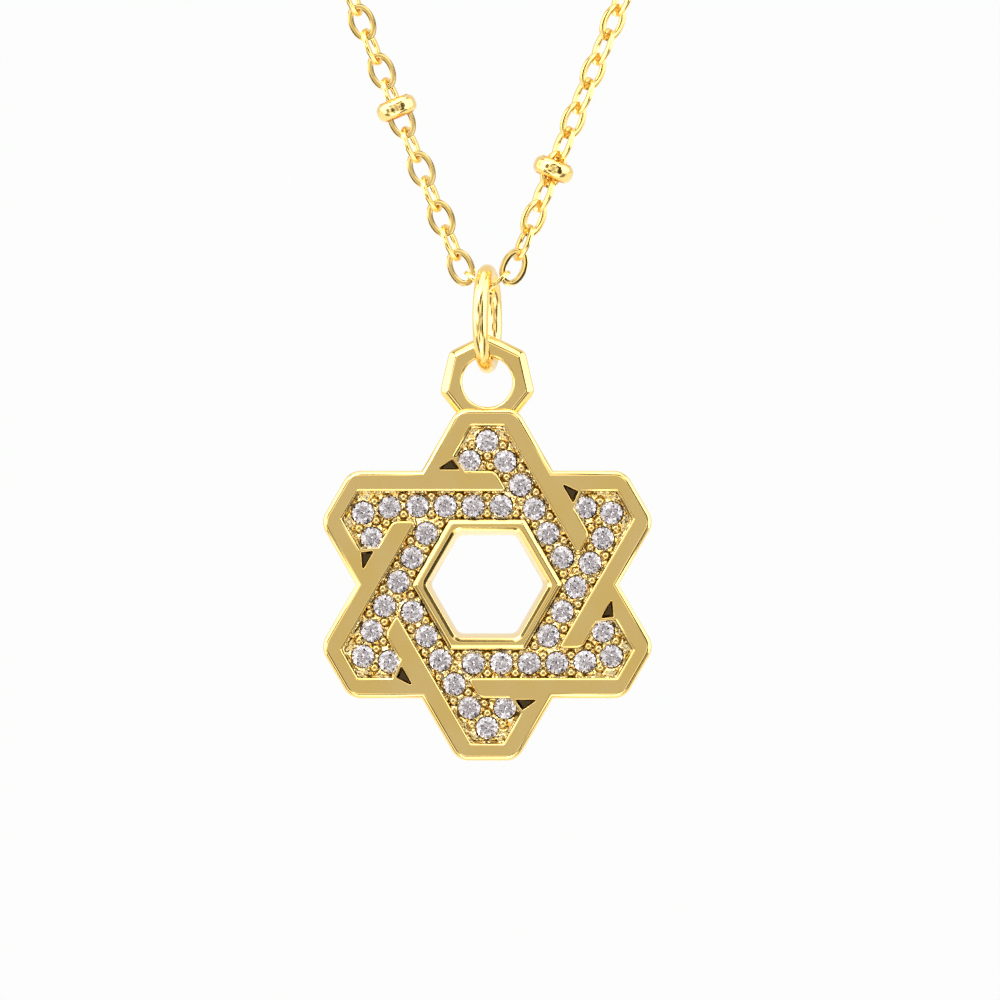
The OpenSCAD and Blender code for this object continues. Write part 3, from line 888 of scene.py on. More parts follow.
def draw_collar(casting, s, line, back):
    """The collar round the six-sided opening, as its foot's outline and ring."""
    top = polygon_outline(SIDES, line.collar_out, s.collar_round)
    foot_line = polygon_outline(SIDES, line.channel_in + s.collar_foot, s.collar_round)
    # The collar's foot gets the full painted shade
    foot = casting.ring(foot_line, line.floor, 1.0)
    # The steep outer side leans in slightly, and the top's edge is softened by the polish
    soft = 0.06 * MM
    rings = [(moved_out(foot_line, -0.02 * MM), line.floor + 0.03 * MM),
             (moved_out(foot_line, -0.03 * MM), s.thick - s.collar_bevel - 0.03 * MM),
             (moved_out(foot_line, -0.05 * MM), s.thick - s.collar_bevel),
             (moved_out(top, soft * 0.6), s.thick - soft * 0.4),
             (moved_out(top, -soft * 0.6), s.thick)]
    slope_foot, rim = casting.walls(rings)
    casting.wall(foot, slope_foot)
    opening = polygon_outline(SIDES, line.hole_front, s.hole_round)
    narrow = polygon_outline(SIDES, line.hole_back, s.hole_round)
    rings = [(moved_out(opening, s.inner_slope), s.thick),
             (moved_out(opening, s.inner_slope * 0.75), s.thick - s.inner_drop * 0.12)]
    rings += rounded_edge(opening, 0.05 * MM, s.thick - s.inner_drop, 3)
    rings += [(narrow, 0.08 * MM), (moved_out(narrow, 0.08 * MM), 0)]
    lip, hole = casting.walls(rings)
    casting.wall(rim, lip, False)
    casting.fill([back, hole], inside_any([rings[-1][0]]))
    return foot_line, foot


def draw_seats(casting, line, stones, channel, bites, wall_foot):
    """Every stone's seat, as the floor's outer ring with its bites and the rings of the free seats."""
    floor_outer, seats = list(wall_foot), []
    for index, middle in reversed(bites):
        begin = bearing(channel[index] - middle)
        sweep = (bearing(channel[index + 2] - middle) - begin) % 360 - 360
        # The seat's rim gets some painted shade
        between = casting.ring(arc(middle, line.seat, begin, sweep, 18)[1:-1], line.floor, 0.4)
        floor_outer[index + 1:index + 2] = between
        start, corner, end = wall_foot[index:index + 3]
        draw_seat(casting, [start] + between + [end, corner], middle, line, stones)
    tucked = [middle for _, middle in bites]
    for middle in stone_places(line, stones):
        if min((middle - t).length for t in tucked) < 0.01 * MM:
            continue
        # The seat's rim gets some painted shade
        ring = casting.ring(arc(middle, line.seat, 0, 360, SEAT_POINTS)[:-1], line.floor, 0.4)
        draw_seat(casting, ring, middle, line, stones)
        seats.append(ring)
    return floor_outer, seats


def draw_star(s, stones, line):
    """The cast star with its channels, seats, pockets, collar and opening."""
    casting = Casting(line.middle, s.thick)
    outside = star_outline(s)
    rings = rounded_edge(outside, -s.outer_edge, s.thick)
    rings += [(outside, s.back_edge), (moved_out(outside, -s.back_edge), 0)]
    front, back = casting.walls(rings)

    channel, edges, bites = channel_outline(s, line, stones)
    rings = rounded_edge(channel, edges, s.thick)
    rim, foot = casting.walls(rings)
    # The wall's foot gets the full painted shade
    wall_foot = casting.ring(channel, line.floor, 1.0)
    casting.wall(foot, wall_foot, True, 1)
    mouths, open_outlines = draw_pockets(casting, s, line)
    casting.fill([front, rim] + mouths, inside_any([rings[0][0]] + open_outlines))

    foot_line, collar_foot = draw_collar(casting, s, line, back)
    floor_outer, seats = draw_seats(casting, line, stones, channel, bites, wall_foot)
    walls = sides_of(channel) + sides_of(foot_line)
    casting.fill([floor_outer, collar_foot] + seats, open_places(foot_line, line, stones),
                 cut_points(line, stones), cut_floor(walls, line, stones), line.floor, 1)
    return casting.finish("star_casting")


def draw_eye(s, ring, line):
    """The seven-sided eye behind the star's upper corner."""
    inner = ring.eye_r * math.cos(math.pi / EYE_SIDES)
    up = s.tip_out - ring.eye_sink + inner
    casting = Casting(line.middle + Vector((0, 0, up)), ring.eye_thick)
    outside = polygon_outline(EYE_SIDES, inner, ring.eye_corner, 4)
    bevel_top = moved_out(outside, -ring.eye_bevel)
    soft = ring.eye_soft
    rings = [(moved_out(bevel_top, -soft), ring.eye_thick),
             (moved_out(bevel_top, -soft * 0.1), ring.eye_thick - soft * 0.25),
             (moved_out(bevel_top, soft * 0.6), ring.eye_thick - soft * 0.75),
             (moved_out(outside, -soft * 0.6), ring.eye_thick - ring.eye_bevel + soft * 0.5),
             (moved_out(outside, -soft * 0.15), ring.eye_thick - ring.eye_bevel - soft * 0.25),
             (outside, ring.eye_thick - ring.eye_bevel - soft),
             (outside, s.back_edge), (moved_out(outside, -s.back_edge), 0)]
    front, back = casting.walls(rings)
    around = arc(Vector((0, 0)), ring.eye_hole / 2, 0, 360, 64)[:-1]
    front_edge = rounded_edge(around, ring.eye_hole_edge, ring.eye_thick)
    back_edge = [(outline, [ring.eye_thick - d for d in depths])
                 for outline, depths in reversed(front_edge)]
    front_hole, back_hole = casting.walls(front_edge + back_edge)
    casting.fill([front, front_hole], inside_any([front_edge[0][0]]))
    casting.fill([back, back_hole], inside_any([back_edge[-1][0]]))
    return casting.finish("star_eye")


def joined(name, meshes):
    """One mesh from several."""
    whole = bmesh.new()
    for mesh in meshes:
        whole.from_mesh(mesh)
        bpy.data.meshes.remove(mesh)
    result = bpy.data.meshes.new(name)
    whole.to_mesh(result)
    whole.free()
    return result


class PENDANT_OT_star(bpy.types.Operator):
    """Builds the cast star with its eye"""
    bl_idname = "pendant.star"
    bl_label = "Star and eye"

    def execute(self, context):
        s, stones = context.scene.pendant_star, context.scene.pendant_stones
        line = star_lines(s, stones)
        eye = draw_eye(s, context.scene.pendant_ring, line)
        mesh = joined("star_body", [draw_star(s, stones, line), eye])
        finish = context.scene.pendant_finish
        mesh.materials.append(rim_gold(finish))
        mesh.materials.append(cut_gold(finish))
        settle_normals(mesh)
        new_piece("star_body", mesh, "pendant", "gold", "star")
        return {"FINISHED"}


# Stones and grains

def brilliant_mesh(size):
    """A round brilliant with its 57 facets and a faceted girdle, its girdle's foot at height 0."""
    wide = size / 2
    table_r, table_z = TABLE_WIDE * wide, (CROWN_HIGH + GIRDLE_HIGH) * size
    top_z, low_z = GIRDLE_HIGH * size, 0.0
    half = math.cos(math.radians(22.5))
    star_r = (wide + table_r * half) / 2
    star_z = table_z - (star_r * half - table_r) * (table_z - top_z) / (wide - table_r)
    culet_z = -PAVILION_HIGH * size
    low_r = LOWER_PARTING * wide
    half_z = culet_z + low_r * half * (low_z - culet_z) / wide

    def ring(radius, height, count, shift):
        return [(radius * math.cos(math.radians(360 * (i + shift) / count)),
                 radius * math.sin(math.radians(360 * (i + shift) / count)), height) for i in range(count)]

    points = (ring(table_r, table_z, 8, 0) + ring(star_r, star_z, 8, 0.5) + ring(wide, top_z, 16, 0)
              + ring(wide, low_z, 16, 0) + ring(low_r, half_z, 8, 0.5) + [(0, 0, culet_z)])
    table, star, top, low, half_low, culet = 0, 8, 16, 32, 48, 56
    faces = [tuple(range(8))]
    for i in range(8):
        j = (i + 1) % 8
        a, b, c = 2 * i, 2 * i + 1, (2 * i + 2) % 16
        faces += [(table + i, star + (i - 1) % 8, top + a, star + i), (table + i, star + i, table + j),
                  (star + i, top + a, top + b), (star + i, top + b, top + c),
                  (top + a, low + a, low + b, top + b), (top + b, low + b, low + c, top + c),
                  (low + a, half_low + i, low + b), (low + b, half_low + i, low + c),
                  (low + a, half_low + (i - 1) % 8, culet, half_low + i)]
    mesh = bpy.data.meshes.new("brilliant")
    mesh.from_pydata(points, [], faces)
    shape = bmesh.new()
    shape.from_mesh(mesh)
    bmesh.ops.recalc_face_normals(shape, faces=shape.faces)
    shape.to_mesh(mesh)
    shape.free()
    return mesh


def stone_tree(material):
    """Puts one cut stone on each point, faced to the front, with its own turn and lean."""
    tree, given = new_tree("Stones in seats", stone=object(), lean=0.04, seed=1)
    stone = add_node(tree, "GeometryNodeObjectInfo", {"Object": given.outputs["Stone"]})
    high = given.outputs["Lean"]
    low = add_node(tree, "ShaderNodeMath", {0: high, 1: -1.0}, operation="MULTIPLY").outputs[0]
    lean_low = add_node(tree, "ShaderNodeCombineXYZ", {"X": low, "Y": low, "Z": 0.0})
    lean_high = add_node(tree, "ShaderNodeCombineXYZ", {"X": high, "Y": high, "Z": 2 * math.pi})
    turn = add_node(tree, "FunctionNodeRandomValue", {
        0: lean_low.outputs[0], 1: lean_high.outputs[0], "Seed": given.outputs["Seed"]},
        data_type="FLOAT_VECTOR")
    front = add_node(tree, "FunctionNodeRotateEuler", {
        "Rotation": turn.outputs[0], "Rotate By": (math.pi / 2, 0, 0)}, space="OBJECT")
    return put_on_points(tree, given, stone.outputs["Geometry"], material,
                         {"Rotation": front.outputs["Rotation"]})


def seat_points(name, places, middle, s, depth):
    """Points on the star at one height above its back."""
    y = middle.y + s.thick / 2 - depth
    return points_mesh(name, [(middle.x + p.x, y, middle.z + p.y) for p in places])


class PENDANT_OT_stones(bpy.types.Operator):
    """Sets a cut stone in every seat of the star"""
    bl_idname = "pendant.stones"
    bl_label = "Stones"

    def execute(self, context):
        s, stones = context.scene.pendant_star, context.scene.pendant_stones
        line = star_lines(s, stones)
        material = cubic_zirconia(context.scene.pendant_finish.zirconia)
        pattern = bpy.data.objects.new("brilliant_pattern", brilliant_mesh(stones.size))
        context.scene.collection.objects.link(pattern)
        base = seat_points("stone_seats", stone_places(line, stones), line.middle, s, line.girdle)
        mesh = grown("set_stones", base, stone_tree(material), Stone=pattern, Lean=stones.tilt,
                     Seed=stones.seed)
        bpy.data.objects.remove(pattern)
        new_piece("set_stones", mesh, "pendant", "stone", *STONE_NODES)
        return {"FINISHED"}


def grain_tree(material):
    """Raises a low dome on each point, faced to the front, with the beading tool's dimple on top."""
    tree, given = new_tree("Raised grains", size=0.43 * MM, height=0.2 * MM, seed=3, dimple=0.25)
    ball = add_node(tree, "GeometryNodeMeshUVSphere", {"Segments": 16, "Rings": 12, "Radius": 1.0})
    faced = add_node(tree, "GeometryNodeTransform", {
        "Geometry": ball.outputs["Mesh"], "Rotation": (math.pi / 2, 0, 0)})
    place = add_node(tree, "GeometryNodeInputPosition")
    spot = add_node(tree, "ShaderNodeSeparateXYZ", {0: place.outputs[0]})
    # The ball's foremost share, from 0.93 of its radius on, is the dimple, which sinks and is painted with
    # shade
    hollow = add_node(tree, "ShaderNodeMapRange", {
        "Value": spot.outputs["Y"], "From Min": -0.93, "From Max": -1.0, "To Min": 0.0, "To Max": 1.0})
    kept = add_node(tree, "GeometryNodeStoreNamedAttribute", {
        "Geometry": faced.outputs["Geometry"], "Name": "hollow", "Value": hollow.outputs["Result"]})
    stored = add_node(tree, "GeometryNodeInputNamedAttribute", {"Name": "hollow"})
    sink = add_node(tree, "ShaderNodeMath", {
        0: stored.outputs["Attribute"], 1: given.outputs["Dimple"]}, operation="MULTIPLY")
    down = add_node(tree, "ShaderNodeCombineXYZ", {"Y": sink.outputs[0]})
    sunk = add_node(tree, "GeometryNodeSetPosition", {
        "Geometry": kept.outputs["Geometry"], "Offset": down.outputs[0]})
    smooth = add_node(tree, "GeometryNodeSetShadeSmooth", {"Geometry": sunk.outputs["Geometry"]})
    half = add_node(tree, "ShaderNodeMath", {0: given.outputs["Size"], 1: 0.5}, operation="MULTIPLY")
    shape = add_node(tree, "ShaderNodeCombineXYZ", {
        "X": half.outputs[0], "Y": given.outputs["Height"], "Z": half.outputs[0]})
    # No two grains are raised quite alike
    vary = add_node(tree, "FunctionNodeRandomValue", {2: 0.9, 3: 1.04, "Seed": given.outputs["Seed"]},
                    data_type="FLOAT")
    scale = add_node(tree, "ShaderNodeVectorMath", {0: shape.outputs[0], "Scale": vary.outputs[1]},
                     operation="SCALE")
    return put_on_points(tree, given, smooth.outputs["Geometry"], material, {"Scale": scale.outputs[0]})


class PENDANT_OT_grains(bpy.types.Operator):
    """Raises the grains of metal that hold the stones"""
    bl_idname = "pendant.grains"
    bl_label = "Grains"

    def execute(self, context):
        s, stones = context.scene.pendant_star, context.scene.pendant_stones
        line = star_lines(s, stones)
        tree = grain_tree(grain_gold(context.scene.pendant_finish))
        base = seat_points("grain_points", grain_places(line, stones), line.middle, s, line.floor)
        mesh = grown("raised_grains", base, tree, Size=stones.grain, Height=stones.grain_high,
                     Seed=stones.seed)
        new_piece("raised_grains", mesh, "pendant", "gold")
        return {"FINISHED"}


# Rings, links and beads

def oval_tree(name, material, profile_round, path_steps):
    """A wire bent to an oval whose length lies along Y, put on every point by that point's turn."""
    tree, given = new_tree(name, long=1.0, wide=1.0, wire=0.1, thick=0.1, edge=0.01)
    wide, long = [add_node(tree, "ShaderNodeMath", {0: given.outputs[over], 1: given.outputs["Wire"]},
                           operation="SUBTRACT").outputs[0] for over in ("Wide", "Long")]
    stretch = add_node(tree, "ShaderNodeCombineXYZ", {"X": wide, "Y": long, "Z": 1.0})
    circle = add_node(tree, "GeometryNodeCurvePrimitiveCircle", {"Resolution": path_steps, "Radius": 0.5})
    path = add_node(tree, "GeometryNodeTransform", {
        "Geometry": circle.outputs["Curve"], "Scale": stretch.outputs["Vector"]})
    normal = add_node(tree, "GeometryNodeSetCurveNormal", {"Curve": path.outputs["Geometry"]}, mode="Z_UP")
    section = add_node(tree, "GeometryNodeCurvePrimitiveQuadrilateral", {
        "Width": given.outputs["Wire"], "Height": given.outputs["Thick"]})
    soft = add_node(tree, "GeometryNodeFilletCurve", {
        "Curve": section.outputs["Curve"], "Radius": given.outputs["Edge"], "Count": profile_round},
        mode="POLY")
    wire = add_node(tree, "GeometryNodeCurveToMesh", {
        "Curve": normal.outputs["Curve"], "Profile Curve": soft.outputs["Curve"]})
    return put_on_points(tree, given, wire.outputs["Mesh"], material, {"Rotation": points_turn(tree)})


def frame_turn(wide_way, long_way):
    """The turn that lays an oval's width and length along two directions."""
    rows = Matrix((wide_way, long_way, wide_way.cross(long_way)))
    return rows.transposed().to_euler("XYZ")


class PENDANT_OT_jump_ring(bpy.types.Operator):
    """Bends the oval jump ring"""
    bl_idname = "pendant.jump_ring"
    bl_label = "Jump ring"

    def execute(self, context):
        ring = context.scene.pendant_ring
        low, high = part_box("jump_ring")
        wide_way = Vector((math.sin(ring.yaw), math.cos(ring.yaw), 0))
        turn = frame_turn(wide_way, Vector((0, 0, 1)))
        base = points_mesh("ring_point", [(low + high) / 2], [turn])
        tree = oval_tree("Jump ring", wire_gold(context.scene.pendant_finish), 6, 96)
        mesh = grown("bent_jump_ring", base, tree, 60, Long=ring.high, Wide=ring.wide, Wire=ring.wire,
                     Thick=ring.wire, Edge=ring.wire * 0.4999)
        new_piece("bent_jump_ring", mesh, "ring", "gold", "jump_ring")
        return {"FINISHED"}


class Loop:
    """The way of the chain: two straight sides that touch a round top, bent back over the shoulders."""

    def __init__(self, c):
        self.c = c
        self.half = c.loop / 2
        self.to_middle = self.half / (math.cos(c.leg_angle)
                                      + math.sin(c.leg_angle) * (math.pi / 2 + c.leg_angle))
        self.leg = self.to_middle * math.cos(c.leg_angle)
        self.round = self.to_middle * math.sin(c.leg_angle)
        self.nape = Vector((0, *self.bent(self.to_middle + self.round)))
        second_x = c.tuck * math.cos(c.low_slope) + c.low_pitch * math.cos(c.low_rise)
        self.cross_z = (second_x / math.tan(c.leg_angle) - c.tuck * math.sin(c.low_slope)
                        - c.low_pitch * math.sin(c.low_rise))
        self.second = second_x / math.sin(c.leg_angle)
        self.clasp_reach = c.clasp_long / 2 + c.clasp_hole + c.clasp_wire

    def lean(self, up):
        """How far from plumb the strand leans at a height on the flat drawing."""
        return min(max(up - self.c.chest, 0) / self.c.shoulder, self.c.nape_lean)

    def bent(self, up):
        """How far back and how high a height on the flat drawing comes."""
        c, lean = self.c, self.lean(up)
        past = max(up - c.chest - c.shoulder * c.nape_lean, 0)
        back = c.shoulder * (1 - math.cos(lean)) + past * math.sin(c.nape_lean)
        high = min(up, c.chest) + c.shoulder * math.sin(lean) + past * math.cos(c.nape_lean)
        return back, high

    def at(self, side, s):
        """The place, direction and face of one side's strand at a length from its lower end."""
        c = self.c
        turn = max(s - self.leg, 0) / self.round - c.leg_angle
        if s < self.leg:
            flat_x, up = s * math.sin(c.leg_angle), s * math.cos(c.leg_angle)
        else:
            flat_x, up = self.round * math.cos(turn), self.to_middle + self.round * math.sin(turn)
        lean = self.lean(up)
        place = Vector((side * flat_x, *self.bent(up))) - self.nape
        along = Vector((-side * math.sin(turn), math.cos(turn) * math.sin(lean),
                        math.cos(turn) * math.cos(lean)))
        face = Vector((0, -math.cos(lean), math.sin(lean)))
        return place, along, face

    def link(self, side, k):
        """The place and turn of one side's link number k, which is 1 for the lowest."""
        c = self.c
        if k == 1:
            a = side * (math.pi / 2 - c.low_slope)
            place = Vector((side * c.tuck * math.cos(c.low_slope), -side * c.low_apart,
                            self.cross_z + c.tuck * math.sin(c.low_slope))) - self.nape
            return place, frame_turn(Vector((0, 1, 0)), Vector((math.sin(a), 0, math.cos(a))))
        place, along, face = self.at(side, self.second + (k - 2) * c.link_pitch)
        place.y -= side * c.low_apart * max(0, 1 - (k - 1) / c.fade)
        roll = math.pi / 2 * (k % 2) + max(side, 0) * c.right_turn * min(1, (k - 1) / 3)
        if side < 0 and k % 2:
            roll -= c.left_slack
        wide_way = math.cos(roll) * face.cross(along) + math.sin(roll) * face
        return place, frame_turn(wide_way, along)

    def count(self):
        """Links on each side up to the clasp."""
        return 2 + math.floor((self.half - self.clasp_reach - self.second) / self.c.link_pitch)


def link_base(loop, name, first, last):
    """Points with turns for both sides' links, from one number to another."""
    links = [loop.link(side, k) for side in (-1, 1) for k in range(first, last + 1)]
    return points_mesh(name, [place for place, _ in links], [turn for _, turn in links])


class PENDANT_OT_chain(bpy.types.Operator):
    """Links the chain on both sides, up to the clasp"""
    bl_idname = "pendant.chain"
    bl_label = "Chain"

    def execute(self, context):
        c = context.scene.pendant_chain
        loop = Loop(c)
        gold = wire_gold(context.scene.pendant_finish)
        sizes = {"Long": c.link_long, "Wide": c.link_wide, "Wire": c.link_wire, "Thick": c.link_thick,
                 "Edge": c.link_edge}
        fine = oval_tree("Fine links", gold, 2, 36)
        plain = oval_tree("Plain links", gold, 1, 16)
        base = link_base(loop, "front_points", 1, c.front)
        mesh = grown("front_links", base, fine, 40, **sizes)
        new_piece("front_links", mesh, "chain", "gold", "chain_front")
        base = link_base(loop, "back_points", c.front + 1, loop.count())
        mesh = grown("back_links", base, plain, 50, **sizes)
        new_piece("back_links", mesh, "chain", "gold", "chain_back")
        return {"FINISHED"}


def turned_mesh(name, profile, steps, closed=True):
    """Turns a profile of (radius, height) points round the Z axis."""
    shape = bmesh.new()
    turns = [2 * math.pi * i / steps for i in range(steps)]
    rings = [[shape.verts.new((r * math.cos(a), r * math.sin(a), h)) for a in turns] if r > 0
             else [shape.verts.new((0, 0, h))] for r, h in profile]
    pairs = list(zip(rings, rings[1:])) + ([(rings[-1], rings[0])] if closed else [])
    for a, b in pairs:
        for i in range(steps):
            j = (i + 1) % steps
            corners = [a[i % len(a)], a[j % len(a)], b[j % len(b)], b[i % len(b)]]
            shape.faces.new(list(dict.fromkeys(corners)))
    bmesh.ops.recalc_face_normals(shape, faces=shape.faces)
    for face in shape.faces:
        face.smooth = True
    mesh = bpy.data.meshes.new(name)
    shape.to_mesh(mesh)
    shape.free()
    return mesh


def bead_profile(c):
    """A bead's section: a full round outside and a short straight bore with softened edges."""
    half, bore, soft = c.bead_long / 2, c.bead_bore / 2, c.bead_round
    outside = arc(Vector((c.bead / 2 - soft, soft - half)), soft, -90, 90, 7)
    outside += arc(Vector((c.bead / 2 - soft, half - soft)), soft, 0, 90, 7)
    fine = 0.1 * MM
    inside = arc(Vector((bore + fine, half - fine)), fine, 90, 90, 3)
    inside += arc(Vector((bore + fine, fine - half)), fine, 180, 90, 3)
    return [(p.x, p.y) for p in outside + inside]


def bead_tree(material):
    """Puts a bead on every point by that point's turn."""
    tree, given = new_tree("Beads on the chain", bead=object())
    bead = add_node(tree, "GeometryNodeObjectInfo", {"Object": given.outputs["Bead"]})
    return put_on_points(tree, given, bead.outputs["Geometry"], material, {"Rotation": points_turn(tree)})


class PENDANT_OT_beads(bpy.types.Operator):
    """Threads the round beads on the chain"""
    bl_idname = "pendant.beads"
    bl_label = "Beads"

    def execute(self, context):
        c = context.scene.pendant_chain
        loop = Loop(c)
        room = loop.half - loop.clasp_reach - loop.second
        count = math.floor(room / c.link_pitch / c.bead_step)
        places, turns = [], []
        for side, first in ((-1, c.left_bead), (1, c.right_bead)):
            for j in range(count):
                place, along, face = loop.at(side, loop.second + (first - 2 + j * c.bead_step) * c.link_pitch)
                places.append(place)
                turns.append(Matrix((face.cross(along), face, along)).transposed().to_euler("XYZ"))
        pattern = bpy.data.objects.new("bead_pattern", turned_mesh("bead", bead_profile(c), 40))
        context.scene.collection.objects.link(pattern)
        tree = bead_tree(wire_gold(context.scene.pendant_finish))
        mesh = grown("threaded_beads", points_mesh("bead_points", places, turns), tree, 40, Bead=pattern)
        bpy.data.objects.remove(pattern)
        new_piece("threaded_beads", mesh, "chain", "gold", "beads")
        return {"FINISHED"}


class PENDANT_OT_clasp(bpy.types.Operator):
    """Turns the plain barrel clasp with a ring at each end"""
    bl_idname = "pendant.clasp"
    bl_label = "Clasp"

    def execute(self, context):
        c = context.scene.pendant_chain
        half, wide, cap = c.clasp_long / 2, c.clasp_thick / 2, c.clasp_thick / 6
        groove = 0.08 * MM
        end = arc(Vector((wide - cap, -half + cap)), cap, -90, 90, 6)
        profile = [(0, -half)] + [(p.x, p.y) for p in end]
        profile += [(wide, -2 * groove), (wide - groove, -groove), (wide - groove, groove),
                    (wide, 2 * groove)]
        profile += [(p.x, -p.y) for p in reversed(end)] + [(0, half)]
        barrel = turned_mesh("barrel", profile, 48, closed=False)
        barrel.transform(Matrix.Rotation(math.pi / 2, 4, "Y"))
        rings = []
        for side in (-1, 1):
            section = arc(Vector(((c.clasp_hole + c.clasp_wire) / 2, 0)), c.clasp_wire / 2, 0, 360, 16)[:-1]
            ring = turned_mesh("end_ring", [(p.x, p.y) for p in section], 40)
            ring.transform(Matrix.Translation((side * (half + c.clasp_hole / 2 + 0.4 * c.clasp_wire), 0, 0)))
            rings.append(ring)
        mesh = joined("barrel_clasp", [barrel] + rings)
        mesh.set_sharp_from_angle(angle=math.radians(40))
        mesh.materials.append(wire_gold(context.scene.pendant_finish))
        new_piece("barrel_clasp", mesh, "chain", "gold", "clasp")
        return {"FINISHED"}


# The studio

# Soft boxes round the object: direction, half angle in degrees, softness of the edge, brightness
SOFT_BOXES = [
    ((0.0, -1.0, 0.0), 56, 8, 1.2),
    ((-1.0, -0.3, 0.25), 34, 6, 2.6),
    ((1.0, -0.3, 0.3), 32, 6, 2.4),
    ((0.0, -0.35, 1.0), 32, 6, 2.5),
    ((0.0, -0.6, -0.8), 22, 6, 2.0),
    ((0.0, 1.0, 0.1), 70, 12, 0.75),
]
# Darker gaps between them: direction, half angle, softness, and the share of the light they take
DARK_GAPS = [
    ((0.0, -1.0, 0.0), 8, 5, 0.535),
    ((-0.36, -0.9, -0.24), 10, 4, 0.96),
    ((0.6, -0.77, 0.25), 13, 4, 0.97),
    ((0.6, -0.77, -0.22), 13, 4, 0.97),
    ((0.05, -0.82, 0.57), 9, 4, 0.95),
    ((-0.62, -0.76, 0.3), 9, 4, 0.95),
    ((-0.2, -0.94, 0.28), 5, 2, 0.93),
    ((0.16, -0.95, -0.3), 6, 3, 0.95),
    ((0.28, -0.95, 0.1), 4, 2, 0.93),
    ((-0.1, -0.8, -0.6), 8, 4, 0.95),
    ((-0.78, -0.58, -0.22), 8, 4, 0.93),
    ((0.3, -0.66, 0.68), 8, 4, 0.93),
]
# Light from everywhere, before the boxes add theirs and the gaps take theirs
EVEN_LIGHT = 0.2
# The key lamp's place and size in metres, and its power in watts
KEY_AT = (-0.35, -0.55, 0.35)
KEY_SIZE = 0.2
KEY_POWER = 1.2
# Where the floor starts and ends along Y, and half its width, in metres
FLOOR_REACH = (-0.15, 1.2)
FLOOR_HALF = 1.2
# The camera's sensor, in the millimetres that Blender's lenses use
SENSOR_WIDE = 36
# The nearest that the camera sees, in metres
NEAREST = 0.05


def patch(tree, way, direction, half_angle, edge, strength):
    """A round patch of the sky, strongest round a direction and soft at its edge."""
    aim = Vector(direction).normalized()
    near = add_node(tree, "ShaderNodeVectorMath", {0: way, 1: tuple(aim)}, operation="DOT_PRODUCT")
    return add_node(tree, "ShaderNodeMapRange", {
        "Value": near.outputs["Value"], "From Min": math.cos(math.radians(half_angle + edge)),
        "From Max": math.cos(math.radians(half_angle)), "To Min": 0.0, "To Max": strength},
        interpolation_type="SMOOTHSTEP").outputs["Result"]


def studio_sky(backdrop):
    """Soft boxes with darker gaps that polished metal mirrors, before an even pale backdrop."""
    world = bpy.data.worlds.new("Soft studio")
    bpy.context.scene.world = world
    world.use_nodes = True
    tree = world.node_tree
    tree.nodes.clear()
    way = add_node(tree, "ShaderNodeTexCoord").outputs["Generated"]
    light = EVEN_LIGHT
    for box in SOFT_BOXES:
        light = add_node(tree, "ShaderNodeMath", {0: light, 1: patch(tree, way, *box)},
                         operation="ADD").outputs[0]
    for gap in DARK_GAPS:
        shade = add_node(tree, "ShaderNodeMath", {0: 1.0, 1: patch(tree, way, *gap)}, operation="SUBTRACT")
        light = add_node(tree, "ShaderNodeMath", {0: light, 1: shade.outputs[0]},
                         operation="MULTIPLY").outputs[0]
    sky = add_node(tree, "ShaderNodeBackground", {"Color": (1, 1, 1, 1), "Strength": light})
    seen = add_node(tree, "ShaderNodeBackground", {"Color": (*backdrop, 1), "Strength": 1.0})
    rays = add_node(tree, "ShaderNodeLightPath")
    both = add_node(tree, "ShaderNodeMixShader", {
        0: rays.outputs["Is Camera Ray"], 1: sky.outputs["Background"], 2: seen.outputs["Background"]})
    add_node(tree, "ShaderNodeOutputWorld", {"Surface": both.outputs["Shader"]})


def paper_floor(studio, star_low):
    """The plain floor, from just before the object to well behind it."""
    z = star_low.z - studio.floor_gap
    points = [(x, y, z) for y in FLOOR_REACH for x in (-FLOOR_HALF, FLOOR_HALF)]
    mesh = bpy.data.meshes.new("paper_floor")
    mesh.from_pydata(points, [], [(0, 1, 3, 2)])
    return mesh


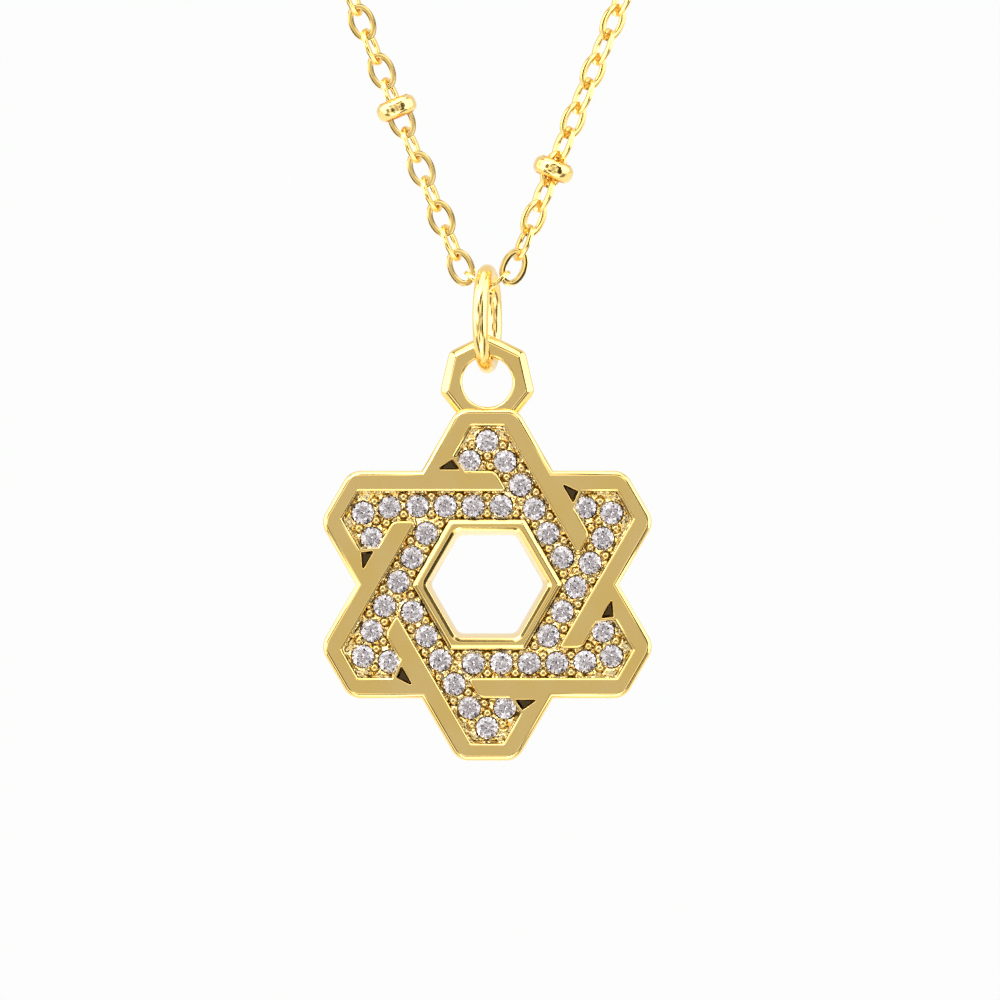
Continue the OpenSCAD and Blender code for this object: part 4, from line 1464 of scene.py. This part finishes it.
class PENDANT_OT_studio(bpy.types.Operator):
    """Sets up the floor, the backdrop, the light and the camera"""
    bl_idname = "pendant.studio"
    bl_label = "Studio"

    def execute(self, context):
        scene, studio = context.scene, context.scene.pendant_studio
        line = star_lines(scene.pendant_star, scene.pendant_stones)
        scene.view_settings.view_transform = "Standard"
        studio_sky(scene.pendant_finish.backdrop)
        floor = bpy.data.objects.new("paper_floor", paper_floor(studio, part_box("star")[0]))
        floor.data.materials.append(floor_paper(scene.pendant_finish.paper))
        scene.collection.objects.link(floor)
        key = bpy.data.lights.new("key", "AREA")
        key.energy, key.size = KEY_POWER, KEY_SIZE
        lamp = bpy.data.objects.new("key", key)
        lamp.location = KEY_AT
        lamp.rotation_euler = (line.middle - lamp.location).to_track_quat("-Z", "Y").to_euler()
        scene.collection.objects.link(lamp)
        camera = bpy.data.objects.new("camera", bpy.data.cameras.new("camera"))
        camera.data.sensor_width = SENSOR_WIDE
        camera.data.lens = SENSOR_WIDE * studio.view_far / studio.view_wide
        camera.data.clip_start = NEAREST
        front = line.middle.y - scene.pendant_star.thick / 2
        camera.location = (line.middle.x + studio.view_right, front - studio.view_far,
                           line.middle.z + studio.view_up)
        camera.rotation_euler = (math.pi / 2, 0, 0)
        scene.collection.objects.link(camera)
        scene.camera = camera
        return {"FINISHED"}


class PENDANT_PT_sidebar(bpy.types.Panel):
    """Lists the pieces of the pendant"""
    bl_label = "Star pendant"
    bl_idname = "PENDANT_PT_sidebar"
    bl_space_type = "VIEW_3D"
    bl_region_type = "UI"
    bl_category = "Pendant"

    def draw(self, context):
        for operator in OPERATORS:
            self.layout.operator(operator.bl_idname)


GROUPS = {"pendant_star": StarSizes, "pendant_stones": StoneSizes, "pendant_ring": RingSizes,
          "pendant_chain": ChainSizes, "pendant_finish": Finishes, "pendant_studio": StudioSizes}
OPERATORS = (PENDANT_OT_studio, PENDANT_OT_star, PENDANT_OT_stones, PENDANT_OT_grains,
             PENDANT_OT_jump_ring, PENDANT_OT_chain, PENDANT_OT_beads, PENDANT_OT_clasp)
CLASSES = (*GROUPS.values(), *OPERATORS, PENDANT_PT_sidebar)


def register():
    """Makes the classes and the scene's sizes known."""
    for item in CLASSES:
        bpy.utils.register_class(item)
    for name, group in GROUPS.items():
        setattr(bpy.types.Scene, name, PointerProperty(type=group))


def unregister():
    """Takes them away again."""
    for name in GROUPS:
        delattr(bpy.types.Scene, name)
    for item in reversed(CLASSES):
        bpy.utils.unregister_class(item)


def main():
    """Builds the studio and every piece."""
    register()
    bpy.ops.pendant.studio()
    bpy.ops.pendant.star()
    bpy.ops.pendant.stones()
    bpy.ops.pendant.grains()
    bpy.ops.pendant.jump_ring()
    bpy.ops.pendant.chain()
    bpy.ops.pendant.beads()
    bpy.ops.pendant.clasp()
    bpy.context.view_layer.update()


if __name__ == "__main__":
    main()
